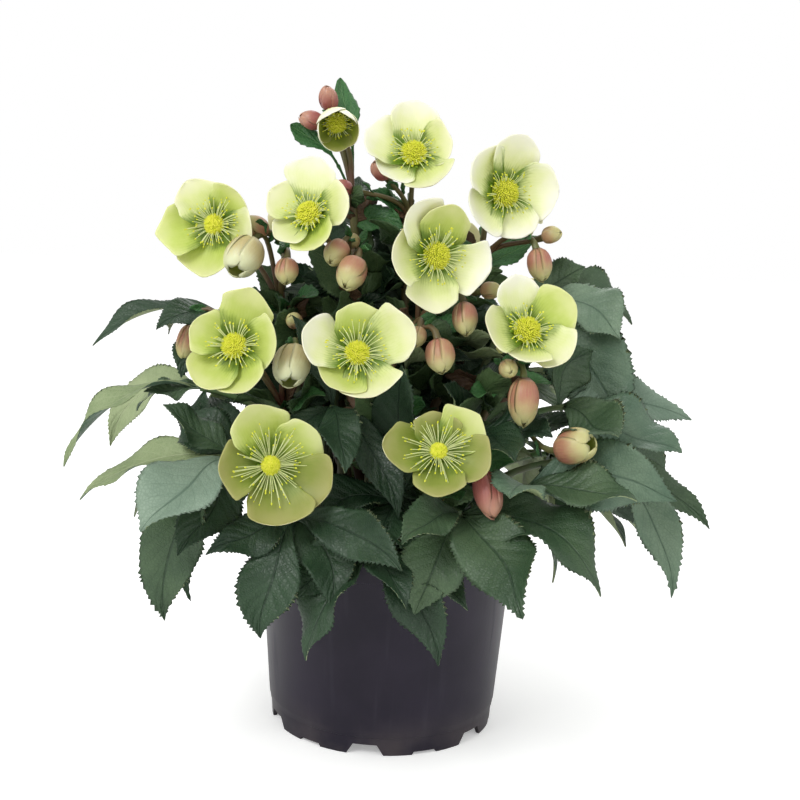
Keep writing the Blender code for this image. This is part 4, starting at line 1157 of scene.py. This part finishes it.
def grow_spray(name):
    """The flowers, buds and bracts on one stem."""
    draw = random.Random(name)
    points, lead = stem_line(name)
    tip = Vector(points[-1])
    neck = np.array([tip + lead * (NECK_LENGTH * k / 4) for k in range(1, 5)])
    line = np.concatenate([points, neck])
    thick = np.linspace(STEM_RADII[0], STEM_RADII[1] * 0.8, len(line)) * 0.96
    stem_paths.append((line, thick, np.linspace(0.95, 0.5, len(line))))
    flowers, buds, bracts = FLOWERS.get(name, []), BUDS.get(name, []), BRACTS.get(name, [])
    count = len(flowers) + len(buds) + len(bracts)
    foot = tip + lead * GAP
    roots = iter([foot + lead * (NECK_LENGTH * (0.4 + 0.5 * i / count)) for i in range(count)])
    behind = name.startswith("back")
    heap = back_sepals if behind else front_sepals
    bract_heap = back_bracts if behind else front_bracts
    for middle, turn, rise, sepal_turn, length, bend, sides, opened in flowers:
        facing = aim(turn, rise)
        middle, length = at(middle), length * MM
        path = stalk(next(roots), lead, middle + facing * STALK_SINK * 0.4, facing, STALK_RADII, 0.8)
        even = [
            (sepal_turn + 72 * k + draw.uniform(-5, 5), length / MM * draw.uniform(0.95, 1.04), sides)
            for k in range(len(SEPAL_LAYERS))
        ]
        rows = even if middle.y > 0.01 else SEPALS.get(name, even)
        sepals = [(turn, long * MM, sides) for turn, long, sides in rows]
        flower(heap, middle, facing, sepals, bend, draw)
        stamens(middle, facing, length, opened, draw)
        small_bract(bract_heap, path, 8, 14 * MM, draw)
    for start, turn, rise, length, radius, kind in buds:
        pointing = aim(turn, rise)
        start, length, radius = at(start), length * MM, radius * MM
        path = stalk(next(roots), lead, start + pointing * MM, pointing, STALK_RADII, 0.9)
        opening = kind in (OPENING, BLUSH)
        bud(bud_heap, start, pointing, length, radius, opening, BUD_SETS[kind], draw)
        for step in (7, 9):
            small_bract(bract_heap, path, step, draw.uniform(9, 14) * MM, draw)
    spin = draw.uniform(0, 360)
    for k in range(WHORL * 2):
        ahead = (aim(spin + WHORL_TURN * k, draw.uniform(-20, 50)) + lead * 0.3).normalized()
        root = tip + lead * (NECK_LENGTH * draw.uniform(-0.6, 0.9))
        if k >= WHORL:
            root = Vector(points[draw.choice((11, 12, 13, 14))])
        long = draw.uniform(20, 34) * MM
        sides = BRACT_SETS[WHORL_KINDS[k % len(WHORL_KINDS)]]
        shape = (40, long * draw.uniform(0.46, 0.6), any_face(draw), 0, draw, 7, sides, 0.05, BRACT_OUTLINE)
        blade(bract_heap, root, root + ahead * long, *shape)
    for k in range(STEM_LEAVES.get(name, 0)):
        root = Vector(line[draw.choice((13, 14, 15, 16, 18))])
        ahead = aim(spin + LEAF_TURN * k, draw.uniform(0, 60))
        long = draw.uniform(34, 50) * MM
        face, sides = any_face(draw), BRACT_SETS["dark"]
        shape = (45, long * draw.uniform(0.46, 0.6), face, 0, draw, 12, sides, 0.05, BRACT_OUTLINE)
        blade(bract_heap, root, root + ahead * long, *shape)
    for i, (end, droop, width) in enumerate(bracts):
        root = next(roots)
        form = LONG_BRACT_OUTLINE if (at(end) - root).length > 3.2 * width * MM else BRACT_OUTLINE
        face = aim(180 if behind else 0, 40)
        sides = BRACT_SETS["brown" if i == 2 else "green"]
        shape = (droop, width * 1.1 * MM, face, 0, draw, 9, sides, 0.05, form)
        blade(bract_heap, root, at(end), *shape)


def tip_tries(hub, tip):
    """Places for a leaflet's tip: its own, then lifted and swung about the hub."""
    for swing in SWING_TRIES:
        turned = hub + Matrix.Rotation(math.radians(swing), 3, "Z") @ (tip - hub)
        for lift in LIFT_TRIES:
            yield turned + UP * (lift * MM)


def shown_leaves():
    """Names, hubs, faces and leaflets of the leaves that the front view shows."""
    for name, (hub, rows) in LEAVES.items():
        yield name, at(hub), aim(0, 0), [(at(row[:3]), row[3], row[4] * MM) for row in rows]


def ring_leaves():
    """Names, hubs, faces and leaflets of the leaves that stand in rings."""
    for ring, (first, step, count, reach, height, length, rise, droop, leaflets, spread) in RINGS.items():
        for k in range(count):
            name = f"{ring}_{k + 1}"
            draw = random.Random(name)
            turn = first + step * k + draw.uniform(-5, 5)
            hub = aim(turn, 0) * (reach * MM * draw.uniform(0.92, 1.08))
            hub += UP * (height * draw.uniform(0.96, 1.05) * MM)
            fan = []
            for i in range(leaflets):
                share = i / (leaflets - 1) - 0.5
                heading = turn + spread * share + draw.uniform(-6, 6)
                long = length * MM * (1 - 0.5 * share * share) * draw.uniform(0.9, 1.1)
                bend = droop * draw.uniform(0.85, 1.2)
                tip = hub + aim(heading, rise - bend / 2 + draw.uniform(-6, 6)) * long
                fan.append((tip, bend, long * RING_WIDTH * draw.uniform(0.9, 1.12)))
            yield name, hub, aim(turn, 0), fan


def leaf_stalk(hub, turn):
    """Points of a leaf's stalk from the compost to its hub, and the way it points there."""
    foot = aim(turn, 0) * LEAF_FOOT_REACH + UP * COMPOST_TOP
    height = hub.z - foot.z
    out = Vector((hub.x - foot.x, hub.y - foot.y, 0))
    push = hub - out * 0.4 - UP * (height * 0.05)
    return bezier(foot, foot + UP * (height * 0.75), push, hub, 14)


def fill_leaves():
    """Smaller leaves low in the crown and between the stems, which only show here."""
    for ring, (first, step, count, reach, height, length, rise, droop, spread) in FILL.items():
        for k in range(count):
            name = f"{ring}_{k + 1}"
            draw = random.Random(name)
            turn = first + step * k + draw.uniform(-8, 8)
            hub = aim(turn, 0) * (reach * MM * draw.uniform(0.85, 1.15))
            hub += UP * (height * draw.uniform(0.94, 1.06) * MM)
            fan = []
            for i in range(3):
                heading = turn + spread * (i / 2 - 0.5) + draw.uniform(-10, 10)
                long = length * MM * draw.uniform(0.85, 1.12)
                tip = hub + aim(heading, rise - droop / 2 + draw.uniform(-8, 8)) * long
                fan.append((tip, droop, long * RING_WIDTH * draw.uniform(1.0, 1.25)))
            yield name, hub, aim(turn, 0), fan


def grow_leaf(name, hub, face, leaflets):
    """One compound leaf, with the leaflets that its solid has, where its solid has them."""
    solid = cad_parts.get("leaf_" + name)
    turn = math.degrees(math.atan2(hub.x, -hub.y))
    if solid:
        tree = KDTree(len(solid.data.vertices))
        for vert in solid.data.vertices:
            tree.insert(vert.co, vert.index)
        tree.balance()

        def foot_gap(shift):
            return tree.find(aim(turn + shift, 0) * LEAF_FOOT_REACH + UP * (COMPOST_TOP + GAP))[2]

        turn += min(TURN_TRIES, key=foot_gap)
    elif not name.startswith("fill"):
        return
    draw = random.Random("blade " + name)
    original = random.Random(name)
    points, lead = leaf_stalk(hub, turn)
    thick = np.linspace(*LEAF_STALK_RADII, len(points))
    leaf_stalk_paths.append((points, thick, np.linspace(0.8, 0.1, len(points))))
    looking = UP * math.cos(math.radians(BANK)) + face * math.sin(math.radians(BANK))
    kinds = LEAF_KINDS.get(name, ("mid" if draw.random() < 0.3 else "dark",))
    roll = math.radians(LEAF_ROLLS.get(name, 0))
    where = "front" if hub.y < -0.04 else "back" if hub.y > 0.045 else "inner"
    shown = len(leaflets)
    leaflets = leaflets + [(at(row[:3]), row[3], row[4] * MM) for row in FRONT_FILL.get(name, [])]
    for i, (tip, droop, width) in enumerate(leaflets):
        twist = math.radians(original.uniform(-12, 12) + draw.uniform(-LEAFLET_ROLL, LEAFLET_ROLL)) + roll
        sides = LEAF_SETS[kinds[i % len(kinds)]]
        root = hub + lead * (HUB_STUB * 0.6 - LEAFLET_STEP * min(i, 5))
        ends = [tip]
        if solid and i < shown:
            ends = [end for end in tip_tries(hub, tip) if tree.find(end)[2] < 0.2 * MM][:1]
        for end in ends:
            teeth = 15 + round(width * 260)
            form = (looking, twist, draw, teeth, sides, draw.uniform(0.02, 0.2), LEAF_OUTLINE)
            broad = width * 1.06 * LEAF_WIDTHS.get(name, 1)
            blade(leaf_heaps[where], root, end, droop, broad, *form)


for name in STEMS:
    grow_spray(name)
for leaf in list(shown_leaves()) + list(ring_leaves()) + list(fill_leaves()):
    grow_leaf(*leaf)


# Pot and compost


def lathe(name, profile, sides, skin):
    """A solid turned about the upright axis from a profile that starts and ends on it."""
    shape = bmesh.new()
    verts = [shape.verts.new((radius, 0, height)) for radius, height in profile]
    edges = [shape.edges.new(pair) for pair in zip(verts, verts[1:])]
    turn = {"cent": (0, 0, 0), "axis": (0, 0, 1), "angle": 2 * math.pi, "steps": sides}
    bmesh.ops.spin(shape, geom=verts + edges, **turn)
    bmesh.ops.remove_doubles(shape, verts=shape.verts[:], dist=0.00001)
    bmesh.ops.recalc_face_normals(shape, faces=shape.faces[:])
    mesh = loose_mesh(name, shape)
    mesh.materials.append(materials[skin])
    return add_item(name, mesh)


def prism(low, high):
    """Corners and faces of a closed shape between two loops with as many corners."""
    count = len(low)
    faces = [(k, (k + 1) % count, (k + 1) % count + count, k + count) for k in range(count)]
    return low + high, faces + [tuple(reversed(range(count))), tuple(range(count, 2 * count))]


def level_loop(middle, radius, level, sides):
    """Corners of a level circle."""
    spots = [middle + aim(360 / sides * k, 0) * radius for k in range(sides)]
    return [(spot.x, spot.y, level) for spot in spots]


def slot_cutter(turn, foot_width, top_width, height):
    """A wedge that cuts a slot up into the pot's foot ring."""
    out, across = aim(turn, 0), aim(turn + 90, 0)
    below = 1 * MM
    low = foot_width / 2 + (foot_width - top_width) / 2 / height * below
    high = top_width / 2
    shape = ((-low, -below), (low, -below), (high, height), (-high, height))
    return prism(*(
        [tuple(out * (FOOT_RADIUS + beyond) + across * side + UP * level) for side, level in shape]
        for beyond in (-8 * MM, 4 * MM)
    ))


def drain_cutter(turn, sides=20):
    """A short upright cylinder that cuts a drain hole through the pot's floor."""
    middle = aim(turn, 0) * DRAIN_REACH
    levels = (FLOOR_UNDERSIDE - 2 * MM, FLOOR_UNDERSIDE + FLOOR + 2 * MM)
    return prism(*(level_loop(middle, DRAIN_RADIUS, level, sides) for level in levels))


def in_order(mesh):
    """The same mesh, its points and faces in a fixed order, because a cut leaves them in any."""
    order = sorted(range(len(mesh.vertices)), key=lambda i: tuple(mesh.vertices[i].co))
    rank = {i: k for k, i in enumerate(order)}
    faces = []
    for face in mesh.polygons:
        loop = [rank[i] for i in face.vertices]
        first = loop.index(min(loop))
        faces.append(loop[first:] + loop[:first])
    fresh = bpy.data.meshes.new(mesh.name)
    fresh.from_pydata([mesh.vertices[i].co for i in order], [], sorted(faces))
    fresh.materials.append(mesh.materials[0])
    return fresh


def make_pot():
    """The round pot, with rounded edges at its rim and the notched ring that it stands on."""
    band_foot = POT_HEIGHT - RIM_BAND
    inside_top = RIM_RADIUS - WALL - 0.6 * MM
    ledge = POT_HEIGHT - 7 * MM
    floor_top = FLOOR_UNDERSIDE + FLOOR
    skirt = FOOT_RADIUS - SKIRT
    profile = [
        (0, FLOOR_UNDERSIDE),
        (skirt - 0.4 * MM, FLOOR_UNDERSIDE),
        (skirt, 0.3 * MM),
        (skirt + 0.3 * MM, 0),
        (FOOT_RADIUS - 0.3 * MM, 0),
        (FOOT_RADIUS, 0.3 * MM),
        (FOOT_RADIUS + 0.7 * MM, STEP_HEIGHT),
        (FOOT_RADIUS + 1.2 * MM, STEP_HEIGHT + 0.3 * MM),
        (SHOULDER_RADIUS - 0.25 * MM, SHOULDER_HEIGHT - 0.8 * MM),
        (SHOULDER_RADIUS, SHOULDER_HEIGHT),
        (SHOULDER_RADIUS + 0.12 * MM, SHOULDER_HEIGHT + 1 * MM),
        (WALL_TOP_RADIUS, band_foot - 0.4 * MM),
        (WALL_TOP_RADIUS + 0.3 * MM, band_foot),
        (RIM_RADIUS - 1.6 * MM, band_foot + 0.3 * MM),
        (RIM_RADIUS - 0.9 * MM, band_foot + 0.6 * MM),
        (RIM_RADIUS - 0.6 * MM, band_foot + 1.3 * MM),
        (RIM_RADIUS - 0.1 * MM, POT_HEIGHT - 1.6 * MM),
        (RIM_RADIUS - 0.15 * MM, POT_HEIGHT - 0.7 * MM),
        (RIM_RADIUS - 0.5 * MM, POT_HEIGHT - 0.15 * MM),
        (RIM_RADIUS - 0.9 * MM, POT_HEIGHT),
        (inside_top + 0.5 * MM, POT_HEIGHT),
        (inside_top + 0.1 * MM, POT_HEIGHT - 0.4 * MM),
        (inside_top, POT_HEIGHT - 1 * MM),
        (inside_top - 0.6 * MM, ledge),
        (WALL_TOP_RADIUS - WALL, ledge - 4 * MM),
        (SHOULDER_RADIUS - WALL, SHOULDER_HEIGHT),
        (FOOT_RADIUS - WALL - 1 * MM, floor_top),
        (0, floor_top),
    ]
    pot = lathe("pot_shell", profile, POT_SIDES, "pot plastic")
    shapes = []
    for k in range(NOTCHES):
        turn = NOTCH_TURN + 360 / NOTCHES * k
        middle = turn + 180 / NOTCHES
        shapes.append(slot_cutter(turn, NOTCH_FOOT_WIDTH, NOTCH_TOP_WIDTH, NOTCH_HEIGHT))
        shapes.append(slot_cutter(middle, RECESS_WIDTH, RECESS_WIDTH - 2 * MM, RECESS_HEIGHT))
        shapes.append(drain_cutter(middle))
    verts, faces = [], []
    for shape_verts, shape_faces in shapes:
        faces += [tuple(i + len(verts) for i in face) for face in shape_faces]
        verts += shape_verts
    mesh = bpy.data.meshes.new("cutters")
    mesh.from_pydata(verts, [], faces)
    cutter = add_item("cutters", mesh)
    modifier = pot.modifiers.new("Cut", "BOOLEAN")
    modifier.operation = "DIFFERENCE"
    modifier.object = cutter
    settle(pot, modifier)
    pot.data = in_order(pot.data)
    bpy.data.objects.remove(cutter)
    pot.data.shade_smooth()
    pot.data.set_sharp_from_angle(angle=math.radians(SHARP))
    return pot


def make_compost():
    """The compost's uneven top with its edge sinking at the wall, a plain body, and its crumbs."""
    draw = random.Random("compost")
    rings, sides = COMPOST_GRID
    foot = FLOOR_UNDERSIDE + FLOOR + GAP
    lumps = [
        (aim(draw.uniform(0, 360), 0) * draw.uniform(0, 72) * MM, draw.uniform(4, 11) * MM,
         draw.uniform(-1.6, 0.2) * MM)
        for _ in range(COMPOST_LUMPS)
    ]

    def level(spot):
        reach = spot.length / COMPOST_RADIUS
        height = COMPOST_TOP - COMPOST_SINK * max(0, (reach - COMPOST_EDGE) / (1 - COMPOST_EDGE))
        for middle, radius, high in lumps:
            far = (spot - middle).length / radius
            if far < 2.2:
                height += high * math.exp(-far * far)
        return height

    middle = Vector((0, 0, 0))
    verts = [(0, 0, level(middle))]
    for k in range(1, rings + 1):
        for x, y, _ in level_loop(middle, COMPOST_RADIUS * k / rings, 0, sides):
            verts.append((x, y, level(Vector((x, y, 0)))))
    verts += level_loop(middle, FOOT_RADIUS - 3.8 * MM, foot, sides)
    faces = [(0, 1 + k, 1 + (k + 1) % sides) for k in range(sides)]
    for a in range(1, 1 + rings * sides, sides):
        for k in range(sides):
            after = (k + 1) % sides
            faces.append((a + k, a + k + sides, a + after + sides, a + after))
    low = 1 + rings * sides
    faces.append(tuple(reversed(range(low, low + sides))))
    mesh = bpy.data.meshes.new("compost_body")
    mesh.from_pydata(verts, [], faces)
    mesh.materials.append(materials["moist compost"])
    shape = bmesh.new()
    shape.from_mesh(mesh)
    bmesh.ops.recalc_face_normals(shape, faces=shape.faces[:])
    shape.to_mesh(mesh)
    shape.free()
    mesh.shade_smooth()
    crumbs = []
    for _ in range(CRUMBS):
        spot = aim(draw.uniform(0, 360), 0) * (COMPOST_RADIUS * 0.985 * math.sqrt(draw.random()))
        size = draw.uniform(0.5, 1.9) * MM
        rise = Vector((draw.uniform(-1, 1), draw.uniform(-1, 1), draw.uniform(0.2, 1))).normalized()
        flat = (size, size * draw.uniform(0.6, 1), size * draw.uniform(0.4, 0.8))
        crumbs.append((spot + UP * (level(spot) + size * 0.1), rise, flat))
    return add_item("compost_body", mesh), crumbs


# The pieces


def finish(item, slot, *nodes):
    """Rides on the one body and stands for its solids."""
    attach(item, "root")
    if nodes:
        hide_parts(*nodes)


def scattered(name, spots, detail, skin, seed, slot):
    """One rounded little shape on each spot, as a piece."""
    form = bmesh.new()
    bmesh.ops.create_icosphere(form, subdivisions=detail, radius=1)
    shape = add_item("shape", loose_mesh("shape", form))
    values = {"Shape": shape, "Seed": seed, "Material": materials[skin]}
    finish(grown(name, point_mesh(name, spots), scatter, values), slot)
    bpy.data.objects.remove(shape)


def tubed(name, paths, sides, relief, scale, skin, slot, *nodes):
    """Tubes along the paths, as a piece."""
    values = {"Sides": sides, "Relief": relief, "Relief Scale": scale, "Material": materials[skin]}
    finish(grown(name, path_mesh(name, paths), tubes, values), slot, *nodes)


spray_nodes = ["spray_" + name for name in STEMS]
stem_nodes = ["stem_" + name for name in STEMS]
leaf_nodes = [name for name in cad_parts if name.startswith("leaf_")]

finish(make_pot(), "pot", "pot")
compost, crumbs = make_compost()
finish(compost, "compost", "compost")
scattered("compost_crumbs", crumbs, 1, "compost crumbs", 3, "compost")
tubed("stems", stem_paths, 12, 0.9 * MM, 90.0, "stem skin", "stem", *stem_nodes)
tubed("flower_stalks", stalk_paths, 9, 0.3 * MM, 160.0, "stem skin", "spray", *spray_nodes)
tubed("leaf_stalks", leaf_stalk_paths, 9, 0.5 * MM, 120.0, "leaf stalk skin", "leaf", *leaf_nodes)
tubed("filaments", filament_paths, 4, 0.0, 100.0, "filament", "spray")
scattered("anthers", anthers, 0, "anther", 5, "spray")
scattered("boss_cores", cores, 3, "boss core", 5, "spray")
scattered("nectaries", nectaries, 1, "nectary", 7, "spray")

sepal_skins = ("sepal cream", "sepal lime and shade", "sepal olive", "sepal pale", "sepal outside")
bud_skins = ("bud pink", "bud cream", "sepal lime and shade", "bud red", "bud tan")
bract_skins = ("bract green", "leaf mid green", "leaf dark green", "bract underside", "bract brown")
leaf_skins = (
    "leaf dark green", "leaf mid green", "leaf grey green", "leaf underside", "leaf soft green and highlight"
)
finish(front_sepals.build("sepals_front", sepal_skins), "spray")
finish(back_sepals.build("sepals_back", sepal_skins), "spray")
finish(bud_heap.build("buds", bud_skins), "spray")
finish(front_bracts.build("bracts_front", bract_skins), "spray")
finish(back_bracts.build("bracts_back", bract_skins), "spray")
for where, heap in leaf_heaps.items():
    finish(heap.build("leaflets_" + where, leaf_skins), "leaf")


# Floor, light and camera

AMBIENT = 0.72        # light from all round, against the white that the camera sees
FLOOR_GLOW = 0.32     # keeps the floor as white as the backdrop
FLOOR_REACH = 4.0
LAMPS = {             # place, width and power of each
    "key": ((-0.9, -1.2, 1.5), 0.9, 18),
    "fill": ((1.2, -0.9, 0.9), 1.2, 3),
    "back": ((0.3, 1.3, 1.3), 1.2, 8),
}
LAMP_TARGET = Vector((0, 0, 0.2))
SENSOR = 36
FOCAL = 1309 / 800    # the camera's focal length, of the picture's width
CAMERA_DROP = 9.7     # how far the camera looks down, in degrees
CAMERA_ROLL = 2.2
CAMERA_PLACE = (4.6, -783.1, 332.4)


def make_stage():
    """A pale floor, soft studio light and the camera at the photograph's angle."""
    mesh = bpy.data.meshes.new("floor")
    far = FLOOR_REACH
    mesh.from_pydata([(-far, -far, 0), (far, -far, 0), (far, far, 0), (-far, far, 0)], [], [(0, 1, 2, 3)])
    tree, surface = new_material("pale floor", 0.9)
    surface["Base Color"].default_value = (0.97, 0.97, 0.97, 1)
    surface["Emission Color"].default_value = (1, 1, 1, 1)
    seen = wire(tree, "ShaderNodeLightPath", output="Is Camera Ray")
    (seen * FLOOR_GLOW).lead(surface["Emission Strength"])
    mesh.materials.append(materials["pale floor"])
    add_item("floor", mesh)
    world = bpy.data.worlds.new("studio")
    bpy.context.scene.world = world
    world.use_nodes = True
    background = world.node_tree.nodes["Background"].inputs
    background["Color"].default_value = (1, 1, 1, 1)
    seen = wire(world.node_tree, "ShaderNodeLightPath", output="Is Camera Ray")
    (seen * (1 - AMBIENT) + AMBIENT).lead(background["Strength"])
    for name, (spot, width, power) in LAMPS.items():
        light = bpy.data.lights.new(name, "AREA")
        light.shape = "DISK"
        light.size = width
        light.energy = power
        lamp = add_item(name, light)
        lamp.location = spot
        lamp.rotation_euler = (LAMP_TARGET - lamp.location).to_track_quat("-Z", "Y").to_euler()
    lens = bpy.data.cameras.new("camera")
    lens.sensor_width = SENSOR
    lens.lens = SENSOR * FOCAL
    lens.clip_start = 0.01
    camera = add_item("camera", lens)
    tilt = Matrix.Rotation(math.radians(90 - CAMERA_DROP), 4, "X")
    roll = Matrix.Rotation(math.radians(CAMERA_ROLL), 4, "Z")
    camera.matrix_world = Matrix.Translation(Vector(CAMERA_PLACE) * MM) @ tilt @ roll
    bpy.context.scene.camera = camera


make_stage()
bpy.context.scene.view_settings.view_transform = "Standard"
